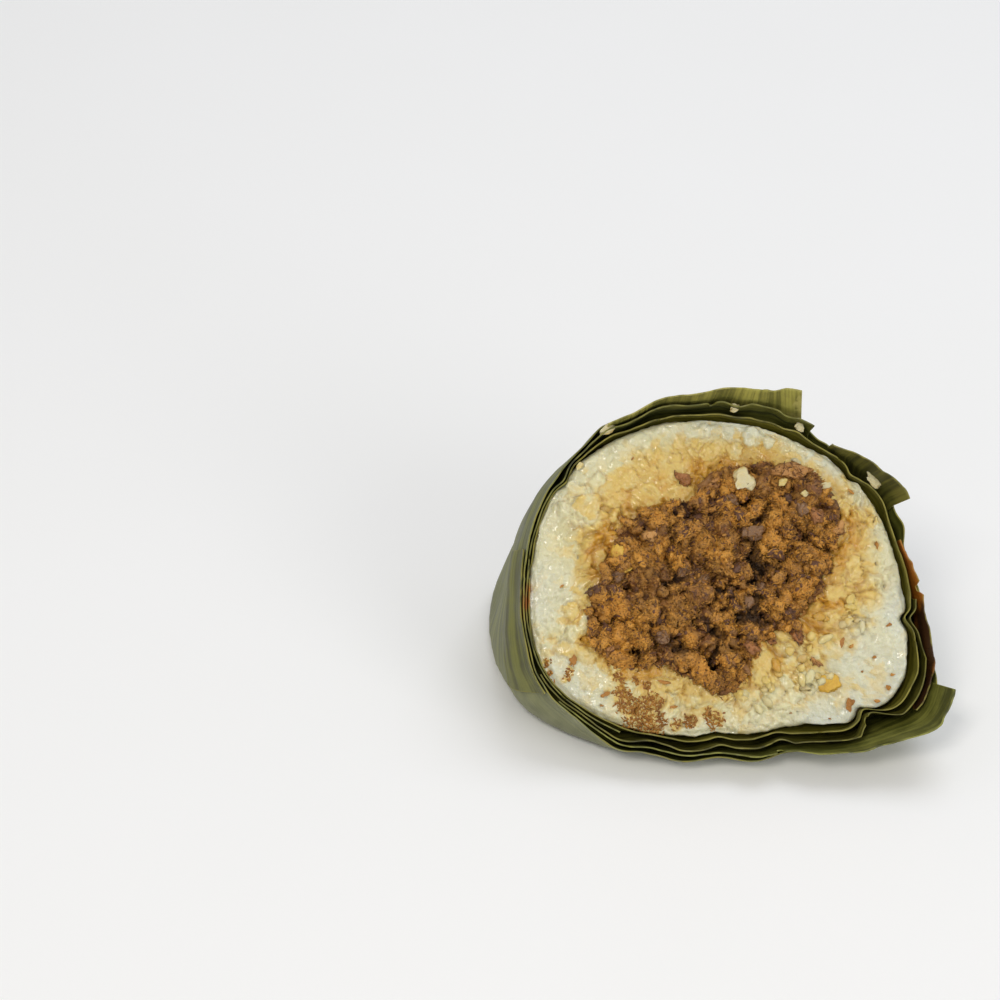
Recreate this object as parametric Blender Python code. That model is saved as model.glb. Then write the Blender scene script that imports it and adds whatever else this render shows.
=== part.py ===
"""Half of a rice dumpling, cut through its leaves and lying on them, with the cut face forward and up.

Sticky rice surrounds a plug of minced filling. Leaves wrap the back of the rice as a cup, and further
leaves lie between that cup and the rice where the cut shows them, each one over the last. The half is a
wedge: the cut face in front, a flat side below, an upright side behind, and the packet's folded ridge
where those two sides meet.

Shapes are worked out in millimetres in the cut face's own frame, from the face's centre: across it, up
along it and deep into the dumpling. A turn round the face and a depth give a point on a straight line from
the rim to the ridge, and so a direction from the centre. Every leaf is a distance along such directions,
so leaves stacked in order never cross.
"""

import math
from dataclasses import dataclass

import bmesh
import bpy
import numpy as np
from mathutils.geometry import delaunay_2d_cdt

# Driving dimensions of the cut face: distances from its centre, evenly spaced round it from the right
RIM_RADII = (33.6, 32.4, 31.4, 30.1, 29.0, 28.7, 28.9, 29.7, 30.8, 32.3, 33.6, 34.1,
             34.5, 35.6, 36.0, 34.0, 31.4, 29.5, 28.4, 28.9, 30.6, 36.2, 38.6, 36.0)
FILLING_RADII = (19.6, 21.8, 24.8, 25.6, 23.8, 21.2, 19.2, 16.6, 16.4, 17.6, 19.8, 20.8,
                 22.4, 25.0, 26.2, 23.8, 18.4, 19.6, 21.0, 18.0, 14.6, 14.6, 16.6, 16.8)

# The wedge behind the face
FACE_TILT = math.radians(46.0)  # cut face from the ground
FACE_HEIGHT = 26.0  # of the face's centre above the ground
BASE_DEPTH = 22.35  # rice below the face's centre, square to the rice's underside
BASE_TURN = math.radians(49.3)  # that underside's slope, over the ground's so that leaves fit in front
BACK_DEPTH = 25.0  # rice behind the face's centre, square to the upright side
BACK_TURN = math.radians(59.6)  # upright side's direction, from straight back towards up
RIDGE = (37.0, 5.4, 40.5)  # half length of the ridge, and how far up and deep it lies
SPREAD = (0.0, 0.0, 0.0, 0.0, 0.0, 0.05, 0.08, 0.26, 0.12, 0.0, 0.0, 0.02)  # sides' slope, round the face
SIDE_ROUNDING = 7.0
BASE_ROUNDING = 14.0
GROUND_CREASE = 26.0

# Leaves
LEAF = 0.4  # thickness
AIR = 0.3  # least gap between neighbours
FADE = math.radians(9.0)  # turn over which a leaf's room closes past its end
FADE_DEPTH = 6.0  # the same in depth
WAVE_DEPTH = 11.0  # how deep the waves of the cut edges run

# Sampling
TURNS = 72  # columns round the face
DEPTHS = (2.5, 7.0, 13.0, 20.0, 27.5, 34.5)  # rows behind the face, before the ridge
RIM_DEPTH = 0.9  # where the rice's side meets its face
FACE_STEP = 1.55  # between points on the cut face

# Filling plug: share of the outline and depth, from the face inwards
PLUG_ROWS = ((0.97, 5.0), (0.86, 11.0), (0.64, 16.5), (0.34, 20.5))
PLUG_END = 22.5
CLEARANCE = 0.35

GRAIN = (3.3, 1.55, 0.95)  # half length, half width and height of a cooked grain's bump
GRAIN_STEP = 3.3
LUMP = (2.7, 2.1, 1.9)  # the same of a crumb of filling
LUMP_STEP = 3.5
SPILL = (-15.5, -22.6, 5.0)  # centre and radius of the crumbs spilt on the rice

MM = 0.001
ROUND = 2 * math.pi


@dataclass(frozen=True)
class Leaf:
    """One leaf. Angles are in degrees round the face from the right. Values run evenly from start to end."""

    name: str
    start: float
    end: float
    rows: int  # how many of DEPTHS it covers; all of them makes a cup, closed along the ridge
    gap: tuple  # air beneath it at the cut, beyond AIR
    flare: tuple  # how far its front edge leans out
    front: tuple  # how far its front edge stands before the cut face
    ripple: tuple  # height of its waves
    waves: float  # waves in a full turn
    phase: float = 0.0
    colour: tuple = (0.13, 0.13, 0.035)
    lift: float = 0.0  # further air beneath all of it

    @property
    def whole(self):
        """Whether it goes all the way round."""
        return self.end - self.start >= 360

    @property
    def closed(self):
        """Whether it closes along the ridge."""
        return self.rows == len(DEPTHS)


LEAVES = (
    Leaf("leaf_inner", 0, 360, 6, (0.0, 0.0, 0.0, 0.0, 0.0), (0.2, 0.2, 0.2, 0.3, 0.2),
         (1.0, 0.8, 0.9, 1.2, 1.0), (0.2, 0.1, 0.2, 0.5, 0.2), 17, 0.4, (0.12, 0.115, 0.025)),
    Leaf("leaf_second", 58, 236, 3, (0.0, 0.1, 0.0, 0.2, 0.3), (0.9, 1.1, 0.2, 0.5, 0.3),
         (2.8, 2.4, 1.0, 1.2, 2.2), (0.2, 0.2, 0.1, 0.3, 0.5), 16, 1.9, (0.075, 0.075, 0.018)),
    Leaf("leaf_third", -152, -6, 2, (0.1, 0.2, 0.2, 0.2, 0.0), (0.2, 0.3, 0.4, 0.3, 0.2),
         (1.2, 2.2, 2.6, 2.0, 1.0), (0.3, 0.6, 0.6, 0.4, 0.2), 15, 3.1, (0.12, 0.12, 0.03)),
    Leaf("leaf_stained", -34, 12, 2, (0.1, 0.1, 0.0), (0.5, 0.6, 0.0),
         (1.6, 2.6, 1.2), (0.2, 0.3, 0.1), 21, 0.7, (0.22, 0.07, 0.012)),
    Leaf("leaf_bottom", -143, -26, 2, (0.1, 0.1, 0.1, 0.6, 0.4), (0.1, 0.1, 0.4, 2.2, 3.6),
         (1.4, 2.6, 3.2, 4.2, 5.2), (0.2, 0.5, 0.5, 0.4, 0.3), 14, 4.4, (0.15, 0.16, 0.04)),
    Leaf("leaf_right_flap", 18, 50, 2, (0.2, 0.3, 0.1), (3.8, 2.7, 0.3),
         (4.0, 4.4, 3.4), (0.3, 0.4, 0.2), 26, 2.2, (0.10, 0.105, 0.028)),
    Leaf("leaf_top_flap", 62, 127, 2, (0.1, 0.1, 0.0), (3.4, 0.6, 0.2),
         (5.4, 5.2, 3.0), (0.2, 0.3, 0.2), 18, 5.2, (0.17, 0.18, 0.055)),
    Leaf("leaf_outer", 0, 360, 6, (0.0, 0.0, 0.1, 0.1, 0.0), (0.0, 0.0, 0.4, 0.2, 0.0),
         (-0.6, -1.4, 2.2, 1.6, -0.6), (0.1, 0.0, 0.2, 0.2, 0.1), 13, 0.9, (0.15, 0.16, 0.07)),
    Leaf("leaf_left_fold", 172, 213, 2, (0.1, 0.2, 0.1), (0.2, 0.7, 1.4),
         (0.6, 2.4, 2.6), (0.2, 0.3, 0.3), 20, 1.1, (0.12, 0.12, 0.03)),
    Leaf("leaf_wrap", 24, 144, 5, (0.0, 0.0, 0.0), (0.0, 0.0, 0.0),
         (-5.0, -9.0, -17.0), (0.0, 0.0, 0.0), 1, 0.0, (0.13, 0.14, 0.05), 0.5),
)
OUTER = next(index for index, leaf in enumerate(LEAVES) if leaf.name == "leaf_outer")

RICE_COLOUR = (0.80, 0.74, 0.56)
FILLING_COLOUR = (0.22, 0.095, 0.035)


def along(values, share):
    """Values at shares from 0 to 1 of an evenly spaced list, on a smooth curve through it."""
    values = np.asarray(values, float)
    place = np.clip(share, 0, 1) * (len(values) - 1)
    left = np.minimum(place.astype(int), len(values) - 2)
    step = place - left
    before, after = np.maximum(left - 1, 0), np.minimum(left + 2, len(values) - 1)
    a, b, c, d = values[before], values[left], values[left + 1], values[after]
    return b + 0.5 * step * (c - a + step * (2 * a - 5 * b + 4 * c - d + step * (3 * (b - c) + d - a)))


def around(values, angle):
    """The same on a closed ring of values, at angles in radians."""
    padded = np.concatenate([values[-2:], values, values[:3]])
    share = (np.mod(angle, ROUND) / ROUND * len(values) + 2) / (len(padded) - 1)
    return along(padded, share)


def eased(value):
    """0 below 0, 1 above 1, and smooth between."""
    value = np.clip(value, 0, 1)
    return value * value * (3 - 2 * value)


def heading(turn, depth):
    """(angle round the face, dip behind it) of the direction that a turn and a depth stand for."""
    share = np.maximum(depth, 0) / RIDGE[2]
    rim = around(RIM_RADII, turn)
    across = ((1 - share) * rim + share * RIDGE[0]) * np.cos(turn)
    up = (1 - share) * rim * np.sin(turn) + share * RIDGE[1]
    return np.arctan2(up, across), np.arctan2(depth, np.hypot(across, up))


def rice_reach(turn, depth):
    """One over the distances from the face's centre to the rice's sides and back, and to its underside."""
    angle, dip = heading(turn, depth)
    behind = np.maximum(np.sin(dip), 0)
    up = np.cos(dip) * np.sin(angle)
    side = (np.cos(dip) - around(SPREAD, angle) * behind) / around(RIM_RADII, angle)
    back = (up * math.sin(BACK_TURN) + behind * math.cos(BACK_TURN)) / BACK_DEPTH
    base = (behind * math.cos(BASE_TURN) - up * math.sin(BASE_TURN)) / BASE_DEPTH
    share = eased(dip / math.radians(25.0))
    sides = (np.maximum(side, 0) ** SIDE_ROUNDING
             + share * np.maximum(back, 0) ** SIDE_ROUNDING) ** (1 / SIDE_ROUNDING)
    return sides, share ** (1 / BASE_ROUNDING) * np.maximum(base, 0)


def rice_distance(turn, depth):
    """From the face's centre to the rice's side."""
    sides, base = rice_reach(turn, depth)
    return (sides ** BASE_ROUNDING + base ** BASE_ROUNDING) ** (-1 / BASE_ROUNDING)


def ground_distance(turn, depth):
    """From the face's centre to the ground, or a long way where the direction doesn't meet it."""
    angle, dip = heading(turn, depth)
    down = np.sin(dip) * math.cos(FACE_TILT) - np.cos(dip) * np.sin(angle) * math.sin(FACE_TILT)
    return np.where(down > 0.05, FACE_HEIGHT / np.maximum(down, 0.05), 1e3)


def room_of(leaf, turn, depth):
    """(share of its room that a leaf takes there, air beneath it)."""
    start, span = math.radians(leaf.start), math.radians(leaf.end - leaf.start)
    past_start = np.mod(turn - start, ROUND)
    past_end = past_start - span
    there = np.ones_like(past_start)
    share = past_start / span
    if not leaf.whole:
        before = ROUND - past_start
        share = np.where(past_end <= 0, share, np.where(past_end < before, 1.0, 0.0))
        there = eased(1 - np.maximum(np.minimum(past_end, before), 0) / FADE)
    if not leaf.closed:
        there = there * eased(1 - (depth - DEPTHS[leaf.rows - 1]) / FADE_DEPTH)
    at_cut = eased(1 - (depth - 1.0) / WAVE_DEPTH)
    leaning = np.clip((4.0 - depth) / 8.5, 0, 1.5) ** 1.5
    wave = along(leaf.ripple, share) * (0.5 + 0.5 * np.sin(leaf.waves * turn + leaf.phase))
    air = AIR + leaf.lift + (along(leaf.gap, share) + wave) * at_cut + along(leaf.flare, share) * leaning
    return there, air


def settled(inside, turn, depth):
    """The same inner distance of the outer leaf, drawn out along the sides and back down to the ground."""
    side = inside - rice_distance(turn, depth) + 1 / np.maximum(rice_reach(turn, depth)[0], 1e-3)
    ground = ground_distance(turn, depth) - LEAF
    return np.maximum(inside, (side**-GROUND_CREASE + ground**-GROUND_CREASE) ** (-1 / GROUND_CREASE))


def leaf_distances(index, turn, depth):
    """Distances to the inner and the outer face of a leaf in the stack."""
    inside = rice_distance(turn, depth)
    for number, leaf in enumerate(LEAVES[: index + 1]):
        there, air = room_of(leaf, turn, depth)
        if number == index:
            there = 1.0
        inside = inside + there * air
        if number == OUTER:
            inside = settled(inside, turn, depth)
        inside = inside + there * LEAF
    return inside - LEAF, inside


def placed(across, up, deep):
    """Points in the face's frame, whose third axis points out of the face."""
    return np.stack([across, up, -deep], axis=-1)


def reached(distance, turn, depth):
    """Point at a distance in the direction of a turn and a depth."""
    angle, dip = heading(turn, depth)
    flat = distance * np.cos(dip)
    return placed(flat * np.cos(angle), flat * np.sin(angle), distance * np.sin(dip))


def material(name, colour, roughness):
    """A plain finish."""
    made = bpy.data.materials.new(name)
    made.use_nodes = True
    shader = made.node_tree.nodes["Principled BSDF"]
    shader.inputs["Base Color"].default_value = (*colour, 1.0)
    shader.inputs["Roughness"].default_value = roughness
    shader.inputs["Metallic"].default_value = 0.0
    return made


def add_object(name, points, faces, finish, face_frame):
    """A named object in the face's frame, from points in millimetres and faces."""
    made = bmesh.new()
    corners = [made.verts.new([float(value) * MM for value in point]) for point in points]
    for face in faces:
        made.faces.new([corners[index] for index in face])
    bmesh.ops.delete(made, geom=[corner for corner in corners if not corner.link_faces], context="VERTS")
    bmesh.ops.recalc_face_normals(made, faces=made.faces)
    mesh = bpy.data.meshes.new(name)
    made.to_mesh(mesh)
    made.free()
    mesh.shade_smooth()
    mesh.set_sharp_from_angle(angle=math.radians(50))
    mesh.materials.append(finish)
    added = bpy.data.objects.new(name, mesh)
    added.parent = face_frame
    bpy.context.scene.collection.objects.link(added)
    return added


def band(first, second):
    """Triangles between two open rows of point numbers."""
    faces = []
    for a, b, c, d in zip(first, first[1:], second, second[1:]):
        faces += [(a, b, d), (a, d, c)]
    return faces


def ring_band(first, second):
    """Triangles between two closed rows."""
    return band([*first, first[0]], [*second, second[0]])


def fan(ring, middle):
    """Triangles from a closed row to one point."""
    return [(a, b, middle) for a, b in zip(ring, [*ring[1:], ring[0]])]


def zipped(rows):
    """Closes a cup: its last row of point numbers is the ridge, which columns above and below it share."""
    ridge = [rows[-1][min(column, TURNS - column)] for column in range(TURNS)]
    return [*rows[:-1], ridge]


def leaf_grid(leaf):
    """(turns, depths) of a leaf's points, in rows from its front edge."""
    step = ROUND / TURNS
    if leaf.whole:
        turns = np.arange(TURNS) * step
        share = turns / ROUND
    else:
        start, end = math.radians(leaf.start), math.radians(leaf.end)
        shared = np.arange(math.floor(start / step) + 1, math.ceil(end / step)) * step
        shared = shared[(shared > start + 0.02) & (shared < end - 0.02)]
        turns = np.concatenate([[start], shared, [end]])
        share = (turns - start) / (end - start)
    front = -along(leaf.front, share)
    deeper = [np.full_like(front, depth) for depth in DEPTHS[: leaf.rows] if depth > front.max() + 1]
    rows = [front, (front + deeper[0]) / 2, *deeper]
    if leaf.closed:
        rows.append(np.full_like(front, RIDGE[2]))
    depths = np.stack(rows)
    return np.broadcast_to(turns, depths.shape), depths


def add_leaf(index, face_frame):
    """A thin wavy leaf, split into triangles alike on both faces."""
    leaf = LEAVES[index]
    turns, depths = leaf_grid(leaf)
    count = depths.size
    inner, outer = leaf_distances(index, turns, depths)
    points = np.concatenate(
        [reached(inner, turns, depths).reshape(-1, 3), reached(outer, turns, depths).reshape(-1, 3)]
    )
    numbers = np.arange(count).reshape(depths.shape)
    rows = [list(row) for row in numbers]
    if leaf.closed:
        rows = zipped(rows)
    join = ring_band if leaf.whole else band
    sheet = [face for a, b in zip(rows, rows[1:]) for face in join(a, b)]
    edges = join(list(numbers[0]), list(numbers[0] + count))
    if not leaf.closed:
        edges += join(list(numbers[-1]), list(numbers[-1] + count))
    if not leaf.whole:
        edges += band(list(numbers[:, 0]), list(numbers[:, 0] + count))
        edges += band(list(numbers[:, -1]), list(numbers[:, -1] + count))
    faces = sheet + [tuple(number + count for number in face) for face in sheet] + edges
    return add_object(leaf.name, points, faces, material(leaf.name, leaf.colour, 0.5), face_frame)


def bumps(points, size, step, seed):
    """Height of a bed of overlapping oval bumps, scattered evenly over the face and turned at random."""
    draw = np.random.default_rng(seed)
    reach = max(RIM_RADII)
    axis = np.arange(-reach, reach, step)
    height = np.zeros(len(points))
    for row, up in enumerate(axis):
        for across in axis + (row % 2) * step / 2:
            middle = (across, up) + draw.uniform(-0.35, 0.35, 2) * step
            scale, turn = draw.uniform(0.75, 1.15, 3) * size, draw.uniform(0, math.pi)
            away = points - middle
            length = away @ (math.cos(turn), math.sin(turn)) / scale[0]
            width = away @ (-math.sin(turn), math.cos(turn)) / scale[1]
            cap = np.sqrt(np.clip(1 - length**2 - width**2, 0, 1)) * scale[2]
            height = np.maximum(height, cap)
    return height


def spill_height(points):
    """Crumbs spilt on the lower left of the rice."""
    near = eased(1 - np.hypot(points[:, 0] - SPILL[0], points[:, 1] - SPILL[1]) / SPILL[2])
    return near * bumps(points, np.array(LUMP) * 0.6, LUMP_STEP * 0.6, 23)


def rice_height(points):
    """Relief of the cut rice: grains, a rounded rim and the spilt crumbs."""
    angle, radius = np.arctan2(points[:, 1], points[:, 0]), np.hypot(points[:, 0], points[:, 1])
    to_rim = around(RIM_RADII, angle) - radius
    rounded = 1 - eased(to_rim / 4.5)
    roll = 0.5 * np.sin(0.21 * points[:, 0] + 0.8) * np.sin(0.19 * points[:, 1] - 0.4)
    relief = (bumps(points, np.array(GRAIN), GRAIN_STEP, 11) - 0.5 + roll) * eased(to_rim / 1.5)
    return relief - 0.9 * rounded + spill_height(points) * eased(to_rim / 2.0)


def filling_height(points):
    """Relief of the filling: crumbs on a low mound with a hollow in the middle."""
    radius = np.hypot(points[:, 0], points[:, 1])
    mound = 0.8 * eased(1 - radius / 24.0) - 1.3 * eased(1 - np.hypot(points[:, 0] - 3, points[:, 1] - 1) / 8)
    return bumps(points, np.array(LUMP), LUMP_STEP, 5) - 0.5 + mound


def face_points(keep):
    """Evenly scattered points of the cut face where keep(angle, radius) holds."""
    reach = max(RIM_RADII)
    rows = np.arange(-reach, reach, FACE_STEP * math.sqrt(3) / 2)
    axis = np.arange(-reach, reach, FACE_STEP)
    grid = np.concatenate([np.stack([axis + i % 2 * FACE_STEP / 2, np.full_like(axis, y)], 1)
                           for i, y in enumerate(rows)])
    grid = grid + np.random.default_rng(3).uniform(-0.12, 0.12, grid.shape) * FACE_STEP
    return grid[keep(np.arctan2(grid[:, 1], grid[:, 0]), np.hypot(grid[:, 0], grid[:, 1]))]


def in_hole(face):
    """Whether an anticlockwise triangle lies in the hole that the second ring of points makes."""
    if min(face) < TURNS or max(face) >= 2 * TURNS:
        return False
    return sum((b - a) % TURNS for a, b in zip(face, [*face[1:], face[0]])) == TURNS


def triangulated(points, rings):
    """Delaunay triangles of flat points, as point numbers.

    The first points lie in rings of TURNS: an outline and, where there are two, a hole.
    """
    edges = [(turn + first, (turn + 1) % TURNS + first) for first in range(0, rings * TURNS, TURNS)
             for turn in range(TURNS)]
    _, _, faces, sources, _, _ = delaunay_2d_cdt([tuple(point) for point in points], edges, [], 1, 1e-6)
    found = [tuple(sources[index][0] for index in face) for face in faces]
    return [face for face in found if rings == 1 or not in_hole(face)]


def ring(radii, angles):
    """Flat points at distances round the face's centre."""
    return np.stack([radii * np.cos(angles), radii * np.sin(angles)], axis=1)


def plug_rows(angles, clearance):
    """Rows of points down the filling's side and its end point, or down the pocket round it."""
    outline = around(FILLING_RADII, angles)
    rows = [placed(*ring(outline * share + clearance, angles).T, np.full(TURNS, depth + clearance))
            for share, depth in PLUG_ROWS]
    return rows, placed(np.zeros(1), np.zeros(1), np.full(1, PLUG_END + clearance))


def numbered(rows):
    """(all points of several rows, each row's point numbers)."""
    ends = np.cumsum([len(row) for row in rows])
    return np.concatenate(rows), [list(range(end - len(row), end)) for row, end in zip(rows, ends)]


def add_rice(face_frame):
    """The rice: its cut face with grains, its side against the leaves, and the pocket for the filling."""
    turns = np.arange(TURNS) * ROUND / TURNS
    depths = [np.full(TURNS, depth) for depth in (RIM_DEPTH, *DEPTHS, RIDGE[2])]
    rim, *sides = [reached(rice_distance(turns, depth), turns, depth) for depth in depths]
    mouth = ring(around(FILLING_RADII, turns) + CLEARANCE, turns)
    inner = face_points(lambda a, r: (r < around(RIM_RADII, a) - 0.9) & (r > around(FILLING_RADII, a) + 1.2))
    flat = np.concatenate([ring(around(RIM_RADII, turns), turns), mouth, inner])
    face = placed(flat[:, 0], flat[:, 1], -rice_height(flat))
    face[:TURNS] = rim
    pocket, pocket_end = plug_rows(turns, CLEARANCE)
    points, numbers = numbered([face, *sides, *pocket, pocket_end])
    side_rows = zipped([numbers[0][:TURNS], *numbers[1 : 1 + len(sides)]])
    pocket_rows = [numbers[0][TURNS : 2 * TURNS], *numbers[1 + len(sides) : -1]]
    faces = triangulated(flat, 2) + fan(pocket_rows[-1], numbers[-1][0])
    for rows in (side_rows, pocket_rows):
        faces += [face for a, b in zip(rows, rows[1:]) for face in ring_band(a, b)]
    return add_object("rice", points, faces, material("rice", RICE_COLOUR, 0.45), face_frame)


def add_filling(face_frame):
    """The plug of minced filling, crumbly where the cut shows it."""
    angles = np.arange(TURNS) * ROUND / TURNS
    mouth = ring(around(FILLING_RADII, angles), angles)
    flat = np.concatenate([mouth, face_points(lambda a, r: r < around(FILLING_RADII, a) - 0.9)])
    top = triangulated(flat, 1)
    face = placed(flat[:, 0], flat[:, 1], -filling_height(flat))
    sides, end = plug_rows(angles, 0.0)
    points, numbers = numbered([face, *sides, end])
    rows = [numbers[0][:TURNS], *numbers[1:-1]]
    faces = list(top) + [face for a, b in zip(rows, rows[1:]) for face in ring_band(a, b)]
    faces += fan(rows[-1], numbers[-1][0])
    return add_object("filling", points, faces, material("filling", FILLING_COLOUR, 0.7), face_frame)


def add_face_frame():
    """The empty that carries the face's frame: X across the face, Y up along it, Z out of it."""
    frame = bpy.data.objects.new("face_frame", None)
    frame.rotation_euler = (FACE_TILT, 0, 0)
    bpy.context.scene.collection.objects.link(frame)
    return frame


def stand_on_origin(face_frame, pieces):
    """Moves the face's frame so that the origin is in the middle of the part's underside."""
    turned = face_frame.rotation_euler.to_matrix()
    points = np.array([turned @ point.co for piece in pieces for point in piece.data.vertices])
    middle = (points.min(axis=0) + points.max(axis=0)) / 2
    face_frame.location = (-middle[0], -middle[1], -points[:, 2].min())


def main():
    """Builds the dumpling in an empty scene."""
    for old in list(bpy.data.objects):
        bpy.data.objects.remove(old)
    face_frame = add_face_frame()
    pieces = [add_rice(face_frame), add_filling(face_frame)]
    pieces += [add_leaf(index, face_frame) for index in range(len(LEAVES))]
    stand_on_origin(face_frame, pieces)


main()
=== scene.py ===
"""The looks of half a cut rice dumpling in its leaves, on the frame of its solids.

Steamed sticky rice surrounds a plug of minced filling, and leaves stand round the rice as thin wavy
sheets. Shapes are worked out in millimetres in the cut face's own frame: across the face, up along it and
out of it. A turn round the face and a depth behind it give a direction from the face's centre. Every leaf
is a distance along such directions, and leaves are stacked in order, so they never cross.
"""

import itertools
import logging
import math
from collections.abc import Iterable
from dataclasses import dataclass
from enum import Enum

import bmesh
import bpy
import numpy as np
from mathutils import Matrix, Vector


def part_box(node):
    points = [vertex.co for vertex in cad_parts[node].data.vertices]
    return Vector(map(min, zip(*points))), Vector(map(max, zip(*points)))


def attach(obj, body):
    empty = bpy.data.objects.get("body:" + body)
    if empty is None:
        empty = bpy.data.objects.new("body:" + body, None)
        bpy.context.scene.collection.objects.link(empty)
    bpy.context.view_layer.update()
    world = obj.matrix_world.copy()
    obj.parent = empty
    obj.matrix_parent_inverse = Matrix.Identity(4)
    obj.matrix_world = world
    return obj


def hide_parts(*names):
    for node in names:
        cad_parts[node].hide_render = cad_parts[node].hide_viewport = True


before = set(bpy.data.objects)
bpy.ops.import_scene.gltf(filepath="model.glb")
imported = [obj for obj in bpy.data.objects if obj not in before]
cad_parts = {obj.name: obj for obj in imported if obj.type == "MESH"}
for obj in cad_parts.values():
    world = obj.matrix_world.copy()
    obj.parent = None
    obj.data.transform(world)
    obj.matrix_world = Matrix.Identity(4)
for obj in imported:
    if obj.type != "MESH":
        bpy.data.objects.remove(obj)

MM = 0.001
ROUND = 2 * math.pi
HASH_MIX = np.array([127.1, 311.7, 74.7])  # uneven numbers that scramble a cell's place for noise
HASH_SEED = 17.31
HASH_STRETCH = 43758.5453
log = logging.getLogger("dumpling")

Numbers = np.ndarray
Values = tuple[float, ...]


class Slot(Enum):
    """The material slots."""

    RICE = "rice"
    FILLING = "filling"
    LEAF_INSIDE = "leaf_inside"
    LEAF_LIGHT = "leaf_light"
    LEAF_STAINED = "leaf_stained"
    LEAF_OUTSIDE = "leaf_outside"


class Run(Enum):
    """Which way a leaf's fibres run."""

    ALONG_RIM = "along the rim"
    INTO_DEPTH = "from the cut edge into the depth"


def linear(code: str) -> tuple[float, float, float, float]:
    """Linear colour of an sRGB hex code."""
    values = [int(code[at : at + 2], 16) / 255 for at in (0, 2, 4)]
    return (*[v / 12.92 if v <= 0.04045 else ((v + 0.055) / 1.055) ** 2.4 for v in values], 1.0)


def along(values: Values, share: Numbers) -> Numbers:
    """Reads an evenly spaced list on a smooth curve through it.

    Args:
        values: The list.
        share: Places in it, from 0 at its start to 1 at its end.

    Returns:
        A value for each place.
    """
    values = np.asarray(values, float)
    place = np.clip(share, 0, 1) * (len(values) - 1)
    left = np.minimum(place.astype(int), len(values) - 2)
    step = place - left
    before, after = np.maximum(left - 1, 0), np.minimum(left + 2, len(values) - 1)
    a, b, c, d = values[before], values[left], values[left + 1], values[after]
    return b + 0.5 * step * (c - a + step * (2 * a - 5 * b + 4 * c - d + step * (3 * (b - c) + d - a)))


def around(values: Values, angle: Numbers) -> Numbers:
    """Reads a closed ring of values on a smooth curve through it.

    Args:
        values: The ring, evenly spaced.
        angle: Angles in radians.

    Returns:
        A value for each angle.
    """
    padded = np.concatenate([values[-2:], values, values[:3]])
    share = (np.mod(angle, ROUND) / ROUND * len(values) + 2) / (len(padded) - 1)
    return along(padded, share)


def turned_away(turn: Numbers, degrees: float) -> Numbers:
    """Radians from an angle in degrees to each turn, the short way round."""
    return np.mod(turn - math.radians(degrees) + math.pi, ROUND) - math.pi


def eased(value: Numbers) -> Numbers:
    """0 below 0, 1 above 1, and smooth between."""
    value = np.clip(value, 0, 1)
    return value * value * (3 - 2 * value)


def noise(points: Numbers, size: float, seed: int) -> Numbers:
    """Smooth noise.

    Args:
        points: Rows of coordinates.
        size: Width of its cells, in the same unit.
        seed: Which noise.

    Returns:
        A value from -1 to 1 for each point.
    """
    place = points / size
    cell = np.floor(place)
    step = place - cell
    step = step * step * (3 - 2 * step)
    mixer = HASH_MIX[: points.shape[-1]]
    total = np.zeros(points.shape[:-1])
    for corner in itertools.product((0, 1), repeat=points.shape[-1]):
        wave = np.sin((cell + corner) @ mixer + seed * HASH_SEED)
        drawn = np.mod(np.abs(wave) * HASH_STRETCH, 1.0)
        total += (2 * drawn - 1) * np.prod(np.where(corner, step, 1 - step), axis=-1)
    return total


def rough(points: Numbers, size: float, seed: int, octaves: int = 3) -> Numbers:
    """Noise with finer noise on it, each octave half as wide and half as high."""
    return sum(noise(points, size / 2**octave, seed + octave) / 2**octave for octave in range(octaves))


def drift(points: Numbers, size: float, *seeds: int) -> Numbers:
    """A sideways shift for each point: rough noise for each seed."""
    return np.stack([rough(points, size, seed) for seed in seeds], axis=1)


def polar(points: Numbers) -> tuple[Numbers, Numbers]:
    """Angle and distance of places (across, up) from the face's centre."""
    return np.arctan2(points[:, 1], points[:, 0]), np.hypot(points[:, 0], points[:, 1])


def placed(radius: Numbers, angle: Numbers, *more: Numbers) -> Numbers:
    """Places (across, up) at a radius and an angle, with any further coordinates behind them."""
    return np.stack([radius * np.cos(angle), radius * np.sin(angle), *more], axis=-1)


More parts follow.
